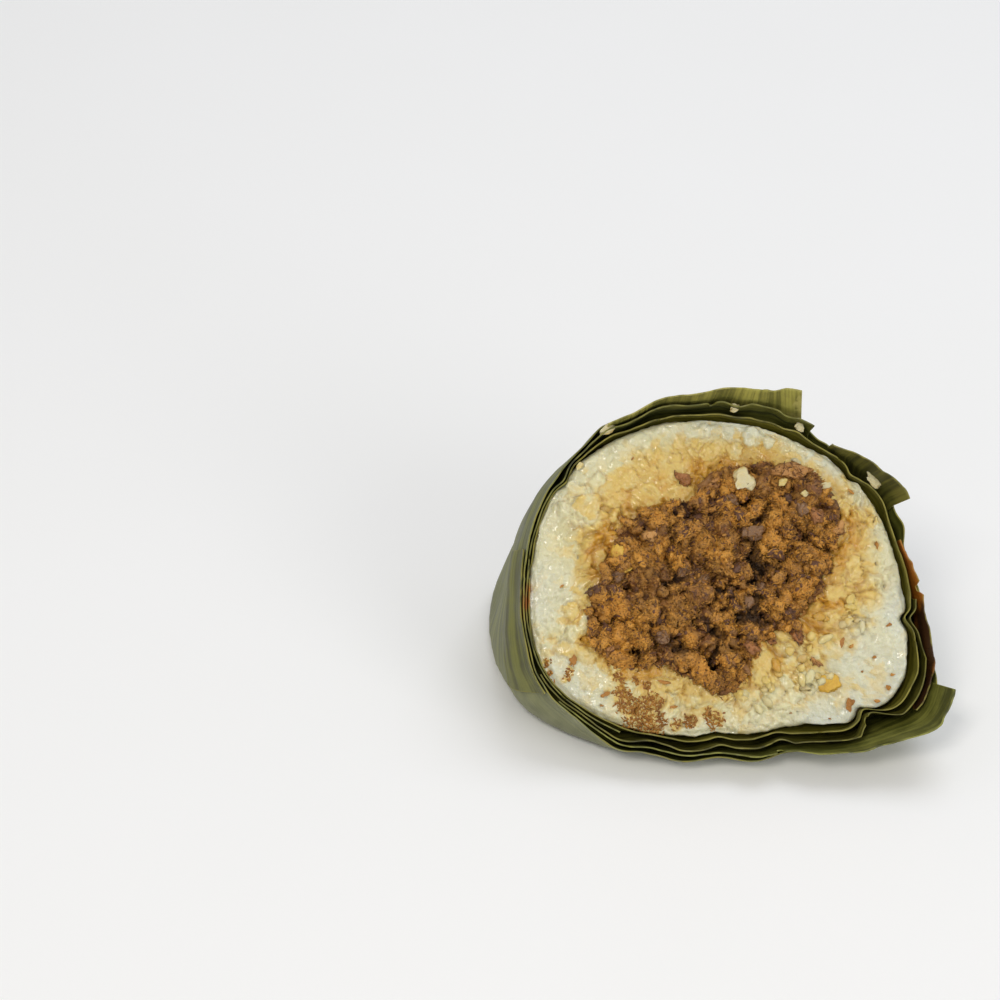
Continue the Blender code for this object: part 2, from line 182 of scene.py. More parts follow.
@dataclass(frozen=True)
class Wedge:
    """The rice's form: the cut face, the flat side below, the upright side behind and the ridge.

    Rings of values start at the right of the face and run round it against the clock.
    """

    rim: Values = (33.6, 32.4, 31.4, 30.1, 29.0, 28.7, 28.9, 29.7, 30.8, 32.3, 33.6, 34.1,
                   34.5, 35.6, 36.0, 34.0, 31.4, 29.5, 28.4, 28.9, 30.6, 36.2, 38.6, 36.0)
    filling: Values = (19.6, 21.8, 24.8, 25.6, 23.8, 21.2, 19.2, 16.6, 16.4, 17.6, 19.8, 20.8,
                       22.4, 25.0, 26.2, 23.8, 18.4, 19.6, 21.0, 18.0, 14.6, 14.6, 16.6, 16.8)
    tilt: float = math.radians(46.0)  # of the face over the ground
    height: float = 26.0  # of the face's centre over the ground
    base_depth: float = 22.35  # from the face's centre straight to the underside
    base_turn: float = math.radians(49.3)
    back_depth: float = 25.0  # from the face's centre straight to the back
    back_turn: float = math.radians(59.6)
    ridge: Values = (37.0, 5.4, 40.5)  # half its length, its place up the face and its depth
    spread: Values = (0.0, 0.0, 0.0, 0.0, 0.0, 0.05, 0.08, 0.26, 0.12, 0.0, 0.0, 0.02)
    back_from: float = math.radians(25.0)  # dip at which the back counts in full
    far: float = 1e3  # stands for a distance that is never met
    side_rounding: float = 7.0  # powers: the higher, the sharper the edge between two sides
    base_rounding: float = 14.0
    crease: float = 26.0

    def heading(self, turn: Numbers, depth: Numbers) -> tuple[Numbers, Numbers]:
        """Works out a direction from the face's centre.

        Args:
            turn: Turns round the face, in radians.
            depth: Depths behind the face at the rim.

        Returns:
            The angle round the face and the dip behind it.
        """
        share = np.maximum(depth, 0) / self.ridge[2]
        rim = around(self.rim, turn)
        across = ((1 - share) * rim + share * self.ridge[0]) * np.cos(turn)
        up = (1 - share) * rim * np.sin(turn) + share * self.ridge[1]
        return np.arctan2(up, across), np.arctan2(depth, np.hypot(across, up))

    def reach(self, turn: Numbers, depth: Numbers) -> tuple[Numbers, Numbers]:
        """Works out how near the rice's planes are.

        Args:
            turn: Turns round the face.
            depth: Depths behind it.

        Returns:
            One over the distance to the sides and back, and one over the distance to the underside.
        """
        angle, dip = self.heading(turn, depth)
        behind = np.maximum(np.sin(dip), 0)
        up = np.cos(dip) * np.sin(angle)
        side = (np.cos(dip) - around(self.spread, angle) * behind) / around(self.rim, angle)
        back = (up * math.sin(self.back_turn) + behind * math.cos(self.back_turn)) / self.back_depth
        base = (behind * math.cos(self.base_turn) - up * math.sin(self.base_turn)) / self.base_depth
        share = eased(dip / self.back_from)
        sides = (np.maximum(side, 0) ** self.side_rounding
                 + share * np.maximum(back, 0) ** self.side_rounding) ** (1 / self.side_rounding)
        return sides, share ** (1 / self.base_rounding) * np.maximum(base, 0)

    def distance(self, turn: Numbers, depth: Numbers) -> Numbers:
        """From the face's centre to the rice's side."""
        sides, base = self.reach(turn, depth)
        return (sides**self.base_rounding + base**self.base_rounding) ** (-1 / self.base_rounding)

    def ground(self, turn: Numbers, depth: Numbers) -> Numbers:
        """Works out the way from the face's centre to the ground.

        Args:
            turn: Turns round the face.
            depth: Depths behind it.

        Returns:
            The distances, a long way where a direction doesn't meet the ground.
        """
        angle, dip = self.heading(turn, depth)
        down = np.sin(dip) * math.cos(self.tilt) - np.cos(dip) * np.sin(angle) * math.sin(self.tilt)
        least = 0.05
        return np.where(down > least, self.height / np.maximum(down, least), self.far)

    def at(self, distance: Numbers, turn: Numbers, depth: Numbers) -> Numbers:
        """Works out points.

        Args:
            distance: From the face's centre.
            turn: Turns round the face.
            depth: Depths behind it.

        Returns:
            Points (across, up, out).
        """
        angle, dip = self.heading(turn, depth)
        return placed(distance * np.cos(dip), angle, -distance * np.sin(dip))


@dataclass(frozen=True)
class Leaf:
    """One leaf. Angles are in degrees round the face from the right, and values run from start to end."""

    name: str
    slot: Slot
    start: float
    end: float
    deep: float  # where it ends; the ridge's depth makes a cup, closed along the ridge
    gap: Values  # air beneath it at the cut
    flare: Values  # how far its front edge leans out
    front: Values  # how far its front edge stands before the cut face
    ripple: Values  # height of its waves
    waves: float  # waves in a full turn
    phase: float
    lift: float = 0.0  # further air beneath all of it
    slant: float = 0.0  # turn of the fibres for each millimetre of depth, in degrees
    ragged: float = 0.35  # how uneven its cut edge is
    seat: float = 0.5  # where the sheet lies in its room, from inside to outside
    trim: float = 0.0  # how much shorter its sheet is than its solid, at its start, in degrees
    cling: float = 0.8  # how closely its front leans out, never less than an inner leaf's
    shear: float = 0.0  # turn of its first end for each millimetre before the face, in degrees
    stains: tuple[Values, ...] = ()  # (degrees, depth, reach in mm, strength) of each

    @property
    def whole(self) -> bool:
        """Whether it goes all the way round."""
        return self.end - self.start >= 360


@dataclass(frozen=True)
class LeafStack:
    """The leaves in order from the rice outwards, and the room that each takes."""

    wedge: Wedge
    leaves: tuple[Leaf, ...]
    room: float = 0.4  # for a leaf
    air: float = 0.3  # least gap between neighbours
    fade: float = math.radians(9.0)  # way over which a leaf's room fades beyond its ends
    fade_depth: float = 6.0  # the same behind it
    wave_depth: float = 11.0  # depth over which its waves fade
    on_ground: str = "leaf_outer"
    folds: tuple[Values, ...] = (
        (-43.0, 2.3, 1.7), (-12.5, 1.5, 1.3), (38.0, 0.6, 1.4), (148.0, 0.7, 1.8), (-92.0, 0.5, 2.2),
    )
    fold_depth: float = 7.0  # depth over which the folds fade
    fold_lean: float = 0.25  # how far a fold runs sideways for each millimetre of depth
    folded: int = 3  # how many leaves from the rice outwards the folds press in
    radius: float = 34.0  # of the rim, which turns angles into millimetres
    contact: float = 0.12  # air that stays where leaves cling

    def fold(self, turn: Numbers, depth: Numbers) -> Numbers:
        """Works out how far folds (degrees, height, half width) of the leaves press into the rice.

        Args:
            turn: Turns round the face.
            depth: Depths behind it.

        Returns:
            The depths of the dents.
        """
        pressed = np.zeros_like(turn)
        for degrees, height, wide in self.folds:
            away = turned_away(turn, degrees) * self.radius + self.fold_lean * depth
            pressed = pressed + height * np.exp(-((away / wide) ** 2))
        return pressed * eased(1 - depth / self.fold_depth)

    def closed(self, leaf: Leaf) -> bool:
        """Whether a leaf closes along the ridge."""
        return leaf.deep >= self.wedge.ridge[2]

    def room_of(self, leaf: Leaf, turn: Numbers, depth: Numbers) -> tuple[Numbers, Numbers]:
        """Works out the room of a leaf.

        Args:
            leaf: The leaf.
            turn: Turns round the face.
            depth: Depths behind it.

        Returns:
            The share of its room that the leaf takes there, and the air beneath it.
        """
        start, span = math.radians(leaf.start), math.radians(leaf.end - leaf.start)
        past_start = np.mod(turn - start, ROUND)
        past_end = past_start - span
        there = np.ones_like(past_start)
        share = past_start / span
        if not leaf.whole:
            before = ROUND - past_start
            share = np.where(past_end <= 0, share, np.where(past_end < before, 1.0, 0.0))
            there = eased(1 - np.maximum(np.minimum(past_end, before), 0) / self.fade)
        if not self.closed(leaf):
            there = there * eased(1 - (depth - leaf.deep) / self.fade_depth)
        at_cut = eased(1 - (depth - 1.0) / self.wave_depth)
        leaning = np.clip((4.0 - depth) / 8.5, 0, 1.5) ** 1.5
        wave = along(leaf.ripple, share) * (0.5 + 0.5 * np.sin(leaf.waves * turn + leaf.phase))
        beneath = self.air + leaf.lift + (along(leaf.gap, share) + wave) * at_cut
        return there, beneath + along(leaf.flare, share) * leaning

    def slack(self, wanted: Leaf, turn: Numbers, depth: Numbers) -> tuple[Numbers, Numbers]:
        """Adds up the air on both sides of a leaf.

        Args:
            wanted: The leaf.
            turn: Turns round the face.
            depth: Depths behind it.

        Returns:
            The air from the rice to the leaf, and from it to the outermost one that reaches the cut.
        """
        beneath, beyond = np.zeros_like(turn), np.zeros_like(turn)
        place = self.leaves.index(wanted)
        for number, leaf in enumerate(self.leaves):
            there, air = self.room_of(leaf, turn, depth)
            if number <= place:
                beneath = beneath + (1.0 if leaf is wanted else there) * (air - self.contact)
            elif max(leaf.front) > 0:
                beyond = beyond + there * (air - self.contact)
        return beneath, beyond

    def settled(self, inside: Numbers, turn: Numbers, depth: Numbers) -> Numbers:
        """Draws the outer leaf out along the sides and back, down to the ground.

        Args:
            inside: Distances to its inner side.
            turn: Turns round the face.
            depth: Depths behind it.

        Returns:
            The new distances.
        """
        side = inside - self.wedge.distance(turn, depth)
        side = side + 1 / np.maximum(self.wedge.reach(turn, depth)[0], 1e-3)
        ground = self.wedge.ground(turn, depth) - self.room
        crease = self.wedge.crease
        return np.maximum(inside, (side**-crease + ground**-crease) ** (-1 / crease))

    def inside(self, wanted: Leaf, turn: Numbers, depth: Numbers) -> Numbers:
        """Works out where a leaf's room starts.

        Args:
            wanted: The leaf.
            turn: Turns round the face.
            depth: Depths behind it.

        Returns:
            Distances to the inner side of its room.
        """
        fold = self.fold(turn, depth)
        inside = self.wedge.distance(turn, depth) - fold
        for number, leaf in enumerate(self.leaves):
            there, air = self.room_of(leaf, turn, depth)
            there = 1.0 if leaf is wanted else there
            if number == self.folded:
                inside = inside + fold
            inside = inside + there * air
            if leaf.name == self.on_ground:
                inside = self.settled(inside, turn, depth)
            if leaf is wanted:
                return inside
            inside = inside + there * self.room
        raise ValueError(f"{wanted.name} isn't in the stack")


@dataclass(frozen=True)
class FaceFrame:
    """Where the cut face stands in the model: its tilt, and its centre in millimetres."""

    tilt: float
    centre: tuple[float, float, float]

    @classmethod
    def found(cls, stack: LeafStack, node: str) -> "FaceFrame":
        """Finds the face's centre from the box of a leaf's solid.

        Args:
            stack: The leaves.
            node: Name of the leaf.

        Returns:
            The frame whose leaf lies in the middle of that box, at the same height.
        """
        leaf = next(leaf for leaf in stack.leaves if leaf.name == node)
        rows = (0, 2.5, 7.0, 13.0, 20.0, 27.5, 34.5, 40.5)
        turn, depth = np.meshgrid(np.radians(np.arange(0, 360, 5)), rows)
        points = stack.wedge.at(stack.inside(leaf, turn, depth) + stack.room, turn, depth).reshape(-1, 3)
        loose = cls(stack.wedge.tilt, (0.0, 0.0, 0.0)).metres(points) / MM
        low, high = (np.array(corner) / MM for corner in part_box(node))
        middle = (low + high) / 2 - (loose.min(axis=0) + loose.max(axis=0)) / 2
        return cls(stack.wedge.tilt, (middle[0], middle[1], stack.wedge.height))

    def flat(self, points: Numbers) -> Numbers:
        """Brings points from the model into the face's frame.

        Args:
            points: Points in metres.

        Returns:
            Points (across, up, out) in millimetres.
        """
        across, back, up = (points / MM - self.centre).T
        sine, cosine = math.sin(self.tilt), math.cos(self.tilt)
        return np.stack([across, back * cosine + up * sine, up * cosine - back * sine], axis=1)

    def metres(self, points: Numbers) -> Numbers:
        """Brings points from the face's frame into the model.

        Args:
            points: Points (across, up, out) in millimetres.

        Returns:
            Points in metres.
        """
        across, up, out = points[:, 0], points[:, 1], points[:, 2]
        sine, cosine = math.sin(self.tilt), math.cos(self.tilt)
        turned = np.stack([across, up * cosine - out * sine, up * sine + out * cosine], axis=1)
        return (turned + self.centre) * MM


def grid_faces(rows: Numbers, ring: bool) -> Numbers:
    """Joins rows of points by faces with four corners.

    Args:
        rows: Point numbers, row by row.
        ring: Whether each row's end is joined to its start.

    Returns:
        The faces, as point numbers.
    """
    left = rows if ring else rows[:, :-1]
    right = np.roll(rows, -1, axis=1) if ring else rows[:, 1:]
    return np.stack([left[:-1], right[:-1], right[1:], left[1:]], axis=-1).reshape(-1, 4)


def zipped(rows: Numbers) -> Numbers:
    """Closes a cup along its ridge.

    Args:
        rows: Point numbers, row by row.

    Returns:
        The same rows, but the last one is shared by the columns above and below the ridge.
    """
    count = rows.shape[1]
    column = np.arange(count)
    return np.concatenate([rows[:-1], rows[-1][np.minimum(column, count - column)][None]])


def add_piece(name: str, points: Numbers, faces: list, material: bpy.types.Material,
              attributes: dict[str, Numbers] | None = None) -> bpy.types.Object:
    """Makes a closed mesh object with its faces outwards.

    Args:
        name: Name of the object and its mesh.
        points: Its points in metres.
        faces: Its faces, as point numbers.
        material: Its finish.
        attributes: A number or a vector for each point, by name.

    Returns:
        The object, in the scene.
    """
    mesh = bpy.data.meshes.new(name)
    mesh.from_pydata(points.tolist(), [], faces)
    for label, values in (attributes or {}).items():
        kind, member = ("FLOAT_VECTOR", "vector") if values.ndim == 2 else ("FLOAT", "value")
        layer = mesh.attributes.new(label, kind, "POINT")
        layer.data.foreach_set(member, np.ascontiguousarray(values, np.float32).ravel())
    made = bmesh.new()
    made.from_mesh(mesh)
    bmesh.ops.delete(made, geom=[v for v in made.verts if not v.link_faces], context="VERTS")
    bmesh.ops.recalc_face_normals(made, faces=made.faces)
    made.to_mesh(mesh)
    made.free()
    mesh.shade_smooth()
    mesh.materials.append(material)
    piece = bpy.data.objects.new(name, mesh)
    bpy.context.scene.collection.objects.link(piece)
    return piece


def hand_in(piece: bpy.types.Object, slot: Slot, *nodes: str) -> None:
    """Makes a piece ride on the body and logs it.

    Args:
        piece: The piece.
        slot: The slot for its finish; not used.
        nodes: The nodes that it stands for.
    """
    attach(piece, "root")
    if nodes:
        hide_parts(*nodes)
    log.info("%s: %d faces", piece.name, len(piece.data.polygons))


def add_node(tree: bpy.types.NodeTree, kind: str, inputs: dict | tuple = (),
             **settings: object) -> bpy.types.Node:
    """Adds a node to a shader or geometry tree.

    Args:
        tree: The tree.
        kind: Blender's name for the node.
        inputs: Its inputs by name, or in order. A socket is linked, a node is linked by its first output,
            a colour's hex code is turned to linear, and any other value is set.
        settings: Its own properties.

    Returns:
        The node.
    """
    node = tree.nodes.new(kind)
    for label, value in settings.items():
        setattr(node, label, value)
    used = [socket for socket in node.inputs if socket.enabled]
    named = {socket.name: socket for socket in reversed(used)}
    by_name = isinstance(inputs, dict)
    chosen = [(named[label], inputs[label]) for label in inputs] if by_name else zip(used, inputs)
    for socket, value in chosen:
        if isinstance(value, bpy.types.Node):
            value = next(output for output in value.outputs if output.enabled)
        if isinstance(value, bpy.types.NodeSocket):
            tree.links.new(value, socket)
        else:
            coded = isinstance(value, str) and socket.type == "RGBA"
            socket.default_value = linear(value) if coded else value
    return node


SMOOTH = {"interpolation_type": "SMOOTHSTEP"}
COLOUR = {"data_type": "RGBA"}
TIMES = {"operation": "MULTIPLY"}


class Paint:
    """A Principled material under construction."""

    def __init__(self, name: str, attributes: Iterable[str] = (), **constants: object) -> None:
        """Starts a material.

        Args:
            name: The material's name.
            attributes: Numbers that it reads from the piece.
            constants: Inputs of the shader that are the same all over, with underscores for spaces.
        """
        self.material = bpy.data.materials.new(name)
        self.material.use_nodes = True
        self.tree = self.material.node_tree
        self.shader = self.tree.nodes["Principled BSDF"]
        for label, value in constants.items():
            self.shader.inputs[label.replace("_", " ").title().replace("Ior", "IOR")].default_value = value
        self.place = self.add("TexCoord").outputs["Object"]
        self.read = {label: self.add("Attribute", attribute_name=label).outputs["Fac"]
                     for label in attributes}

    def add(self, kind: str, inputs: dict | tuple = (), **settings: object) -> bpy.types.Node:
        """Adds a shader node, as add_node does."""
        return add_node(self.tree, "ShaderNode" + kind, inputs, **settings)

    def finish(self, colour: bpy.types.Node, roughness: bpy.types.Node | None = None,
               relief: bpy.types.Node | None = None, height: float = 0.1) -> bpy.types.Material:
        """Links what varies over the surface.

        Args:
            colour: Its colour.
            roughness: Its roughness.
            relief: Its fine relief, from 0 to 1.
            height: Height of that relief in millimetres.

        Returns:
            The finished material.
        """
        links = {"Base Color": colour}
        if roughness:
            links["Roughness"] = roughness
        if relief:
            links["Normal"] = self.add("Bump", {"Height": relief.outputs[0], "Distance": height * MM})
        for label, node in links.items():
            output = next(socket for socket in node.outputs if socket.enabled)
            self.tree.links.new(output, self.shader.inputs[label])
        return self.material


@dataclass(frozen=True)
class SteamedRice:
    """Steamed glutinous rice: swollen wet grains that let light in, so they look milky and glow where thin.

    The rim and the wet patches are bluish white, partly starch and partly a painted sheen, and the
    filling's juice turns the grains beside it straw and amber.
    """

    name: str = "steamed_glutinous_rice"
    cream: str = "E6DFB4"
    pale: str = "DAD2A2"
    bluish: str = "D9DAC6"
    # bluish white of the rim and the wet patches: partly starch, partly a painted sheen
    straw: str = "DFC270"
    amber: str = "CE9A34"
    # colour pulled into the crevices: juice seeping there, and painted shade
    vein_and_shade: str = "A87428"
    scatter: float = 1.5  # how far light travels inside, in millimetres
    cloud: float = 1.5  # width of a cloudy patch in a grain
    swelling: float = 0.9  # width of a swelling of its skin
    pit: float = 0.4  # width of the starch film's pits, drawn coarser than they are, so that they show
    relief: float = 0.25  # height of swellings and pits
    wet: float = 0.6

    def build(self) -> bpy.types.Material:
        """Builds the material, which reads soak, rim, grain and crevice from the piece.

        Returns:
            The material.
        """
        paint = Paint(self.name, ("soak", "rim", "grain", "crevice"), subsurface_weight=0.5,
                      subsurface_radius=(1.0, 0.85, 0.55), subsurface_scale=self.scatter * MM, ior=1.38,
                      coat_weight=self.wet, coat_roughness=0.1)
        cloudy = paint.add("TexNoise", (paint.place, 1 / (self.cloud * MM), 4.0, 0.6))
        fine = paint.add("TexNoise", (paint.place, 1 / (self.pit * MM), 3.0, 0.6))
        patchy = paint.add("Math", (paint.read["grain"], cloudy))
        milky = paint.add("MapRange", (patchy, 0.5, 1.5), **SMOOTH)
        colour = paint.add("Mix", (milky, self.pale, self.cream), **COLOUR)
        # painted sheen: the rim and wet patches turn bluish white, partly starch
        colour = paint.add("Mix", (paint.read["rim"], colour, self.bluish), **COLOUR)
        swing = paint.add("MapRange", (patchy, 0.4, 1.6, -0.16, 0.16), **SMOOTH)
        soak = paint.add("Math", (paint.read["soak"], swing))
        soaked = paint.add("MapRange", (soak, 0.02, 0.5), **SMOOTH)
        colour = paint.add("Mix", (soaked, colour, self.straw), **COLOUR)
        juicy = paint.add("MapRange", (soak, 0.5, 1.05), **SMOOTH)
        colour = paint.add("Mix", (juicy, colour, self.amber), **COLOUR)
        # Crevices darken towards the vein colour: painted shade, stronger and amber where the juice seeped
        # in.
        seeping = paint.add("MapRange", (soak, 0.0, 0.6, 0.2, 0.6))
        deep = paint.add("Math", (paint.read["crevice"], seeping), **TIMES)
        colour = paint.add("Mix", (deep, colour, self.vein_and_shade), **COLOUR)
        roughness = paint.add("MapRange", (cloudy, 0.3, 0.7, 0.26, 0.5), **SMOOTH)
        swollen = paint.add("TexNoise", (paint.place, 1 / (self.swelling * MM), 2.0))
        relief = paint.add("Math", (swollen, paint.add("Math", (fine, 0.7), **TIMES)))
        return paint.finish(colour, roughness, relief, self.relief)


@dataclass(frozen=True)
class MincedFilling:
    """Cooked minced meat pulled to floss: dry brown crumbs and fibres, orange at the tips, with painted
    shade dark between them and painted light on the higher lumps.
    """

    name: str = "minced_meat_floss"
    brown: str = "724620"
    golden: str = "A87634"
    orange: str = "CC8E36"
    dark: str = "3E2410"
    mauve: str = "6E4A34"
    # painted shade in the hollows and crevices
    hollow: str = "24160B"
    scatter: float = 0.6  # how far light travels inside, in millimetres
    browned: float = 2.8  # width of a browned patch
    strand: float = 0.4  # width of a few fibres together, as single ones are too fine to show
    relief: float = 0.3  # height of the strands

    def build(self) -> bpy.types.Material:
        """Builds the material, which reads grain, crevice and zone from the piece.

        Returns:
            The material.
        """
        paint = Paint(self.name, ("grain", "crevice", "zone"), subsurface_weight=0.06,
                      subsurface_radius=(1.0, 0.7, 0.4), subsurface_scale=self.scatter * MM)
        blotch = paint.add("TexNoise", (paint.place, 1 / (self.browned * MM), 4.0, 0.6))
        fine = paint.add("TexNoise", (paint.place, 1 / (self.strand * MM), 4.0, 0.6))
        grain = paint.add("Math", (paint.read["grain"], 0.6), **TIMES)
        # The attribute read here adds the orange patches and a painted light that brightens the higher
        # lumps.
        bright = paint.add("Math", (grain, paint.add("Math", (blotch, paint.read["zone"]))))
        golden = paint.add("MapRange", (bright, 0.55, 1.0), **SMOOTH)
        colour = paint.add("Mix", (golden, self.brown, self.golden), **COLOUR)
        orange = paint.add("MapRange", (bright, 0.85, 1.45), **SMOOTH)
        colour = paint.add("Mix", (orange, colour, self.orange), **COLOUR)
        mauve = paint.add("MapRange", (paint.read["grain"], 0.22, 0.1), **SMOOTH)
        colour = paint.add("Mix", (mauve, colour, self.mauve), **COLOUR)
        dark = paint.add("MapRange", (fine, 0.5, 0.34, 0.0, 0.8), **SMOOTH)
        colour = paint.add("Mix", (dark, colour, self.dark), **COLOUR)
        # painted shade: darker in the hollows and crevices
        colour = paint.add("Mix", (paint.read["crevice"], colour, self.hollow), **COLOUR)
        roughness = paint.add("MapRange", (blotch, 0.3, 0.7, 0.36, 0.72), **SMOOTH)
        return paint.finish(colour, roughness, fine, self.relief)


@dataclass(frozen=True)
class MeatLump:
    """A lump of braised meat or shallot: close fibres under a film of fat, smoother than the floss."""

    name: str
    main: str
    second: str
    fat: str = "C08A4A"
    # painted shade down the sides and in the crevices
    between: str = "3A240E"
    scatter: float = 0.5  # how far light travels inside, in millimetres
    browned: float = 1.3  # width of a browned patch
    strand: float = 0.45  # width of a few fibres together, as single ones are too fine to show
    relief: float = 0.4  # height of the strands

    def build(self) -> bpy.types.Material:
        """Builds the material, which reads grain and crevice from the piece.

        Returns:
            The material.
        """
        paint = Paint(self.name, ("grain", "crevice"), subsurface_weight=0.06,
                      subsurface_radius=(1.0, 0.8, 0.5), subsurface_scale=self.scatter * MM,
                      coat_weight=0.2, coat_roughness=0.25)
        blotch = paint.add("TexNoise", (paint.place, 1 / (self.browned * MM), 4.0, 0.6))
        fine = paint.add("TexNoise", (paint.place, 1 / (self.strand * MM), 3.0, 0.6))
        both = paint.add("Math", (blotch, paint.read["grain"]))
        share = paint.add("MapRange", (both, 0.5, 1.5), **SMOOTH)
        colour = paint.add("Mix", (share, self.main, self.second), **COLOUR)
        fatty = paint.add("MapRange", (fine, 0.5, 0.72, 0.0, 0.45), **SMOOTH)
        colour = paint.add("Mix", (fatty, colour, self.fat), **COLOUR)
        # painted shade
        colour = paint.add("Mix", (paint.read["crevice"], colour, self.between), **COLOUR)
        roughness = paint.add("MapRange", (blotch, 0.3, 0.7, 0.34, 0.6), **SMOOTH)
        return paint.finish(colour, roughness, fine, self.relief)


@dataclass(frozen=True)
class MungBean:
    """A split mung bean or a crumb of it: dense, dull and lemon yellow."""

    name: str = "split_mung_bean"
    yellow: str = "DCB444"
    deep: str = "C6962E"
    # painted shade down the sides and in the crevices
    between: str = "8A5A18"
    scatter: float = 0.9  # how far light travels inside, in millimetres
    mealy: float = 1.2  # width of a mealy patch
    relief: float = 0.15  # height of the patches

    def build(self) -> bpy.types.Material:
        """Builds the material, which reads crevice from the piece.

        Returns:
            The material.
        """
        paint = Paint(self.name, ("crevice",), subsurface_weight=0.3, subsurface_radius=(1.0, 0.7, 0.3),
                      subsurface_scale=self.scatter * MM)
        blotch = paint.add("TexNoise", (paint.place, 1 / (self.mealy * MM), 4.0, 0.6))
        share = paint.add("MapRange", (blotch, 0.35, 0.7), **SMOOTH)
        colour = paint.add("Mix", (share, self.yellow, self.deep), **COLOUR)
        # painted shade
        colour = paint.add("Mix", (paint.read["crevice"], colour, self.between), **COLOUR)
        roughness = paint.add("MapRange", (blotch, 0.3, 0.7, 0.4, 0.6), **SMOOTH)
        return paint.finish(colour, roughness, blotch, self.relief)


@dataclass(frozen=True)
class BoiledLeaf:
    """Bamboo leaf boiled for hours: olive, a little glossy where wet, with close parallel fibres.

    The cut edge dries yellowish, and the outer side keeps a grey waxy bloom.
    """

    name: str
    light: str = "6F6E2C"
    dark: str = "34350F"
    edge: str = "8A8236"
    outside: str = "8F9076"
    bloom: float = 0.0
    fibre: float = 0.9  # width of a bundle of fibres in millimetres
    drawn_out: float = 30.0  # how much longer than wide a bundle looks
    mottle: float = 6.0  # width of a lighter or darker patch
    dapple: float = 2.4  # width of a dry spot on the cut edge
    relief: float = 0.16  # height of the fibres
    run: Run = Run.ALONG_RIM
    shine: float = 0.42  # roughness where wet
    tea: str = "A8641A"  # of a light stain
    soy: str = "40260F"  # of a dark one

    def build(self) -> bpy.types.Material:
        """Builds the material, which reads sheet, edge, outside and stain from the piece.

        Returns:
            The material.
        """
        paint = Paint(self.name, ("edge", "outside", "stain"), ior=1.42,
                      coat_weight=0.08, coat_roughness=0.25)
        sheet = paint.add("Attribute", attribute_name="sheet").outputs["Vector"]
        far = self.drawn_out
        long = (far, far, 1.0) if self.run is Run.ALONG_RIM else (1.0, 1.0, far)
        lines = []
        for wide in (self.fibre, self.fibre / 3, self.fibre * 4):
            scale = tuple(1 / (wide * stretch) for stretch in long)
            drawn = paint.add("Mapping", {"Vector": sheet, "Scale": scale})
            lines.append(paint.add("TexNoise", (drawn, 1.0, 2.0, 0.55)))
        mottle = paint.add("TexNoise", (paint.place, 1 / (self.mottle * MM), 5.0, 0.6))
        dapple = paint.add("TexNoise", (paint.place, 1 / (self.dapple * MM), 3.0, 0.55))
        fibres = paint.add("Math", (lines[0], paint.add("Math", (lines[1], 0.5), **TIMES)))
        shade = paint.add("Math", (fibres, paint.add("Math", (lines[2], mottle))))
        shade = paint.add("MapRange", (shade, 1.45, 2.1), **SMOOTH)
        colour = paint.add("Mix", (shade, self.dark, self.light), **COLOUR)
        bloom = paint.add("MapRange", (mottle, 0.25, 0.75, self.bloom * 0.5, self.bloom), **SMOOTH)
        bloom = paint.add("Math", (paint.read["outside"], bloom), **TIMES)
        colour = paint.add("Mix", (bloom, colour, self.outside), **COLOUR)
        stain = paint.add("MapRange", (mottle, 0.2, 0.8, 0.7, 1.3), **SMOOTH)
        stain = paint.add("Math", (paint.read["stain"], stain), **TIMES)
        light_stain = paint.add("MapRange", (stain, 0.1, 0.45), **SMOOTH)
        colour = paint.add("Mix", (light_stain, colour, self.tea), **COLOUR)
        dark_stain = paint.add("MapRange", (stain, 0.65, 1.0), **SMOOTH)
        colour = paint.add("Mix", (dark_stain, colour, self.soy), **COLOUR)
        dried = paint.add("Math", (paint.add("MapRange", (paint.read["edge"], 0.16, 0.03), **SMOOTH),
                                   paint.add("MapRange", (dapple, 0.35, 0.65), **SMOOTH)), **TIMES)
        colour = paint.add("Mix", (dried, colour, self.edge), **COLOUR)
        roughness = paint.add("MapRange", (mottle, 0.3, 0.7, self.shine, self.shine + 0.2), **SMOOTH)
        return paint.finish(colour, roughness, fibres, self.relief)


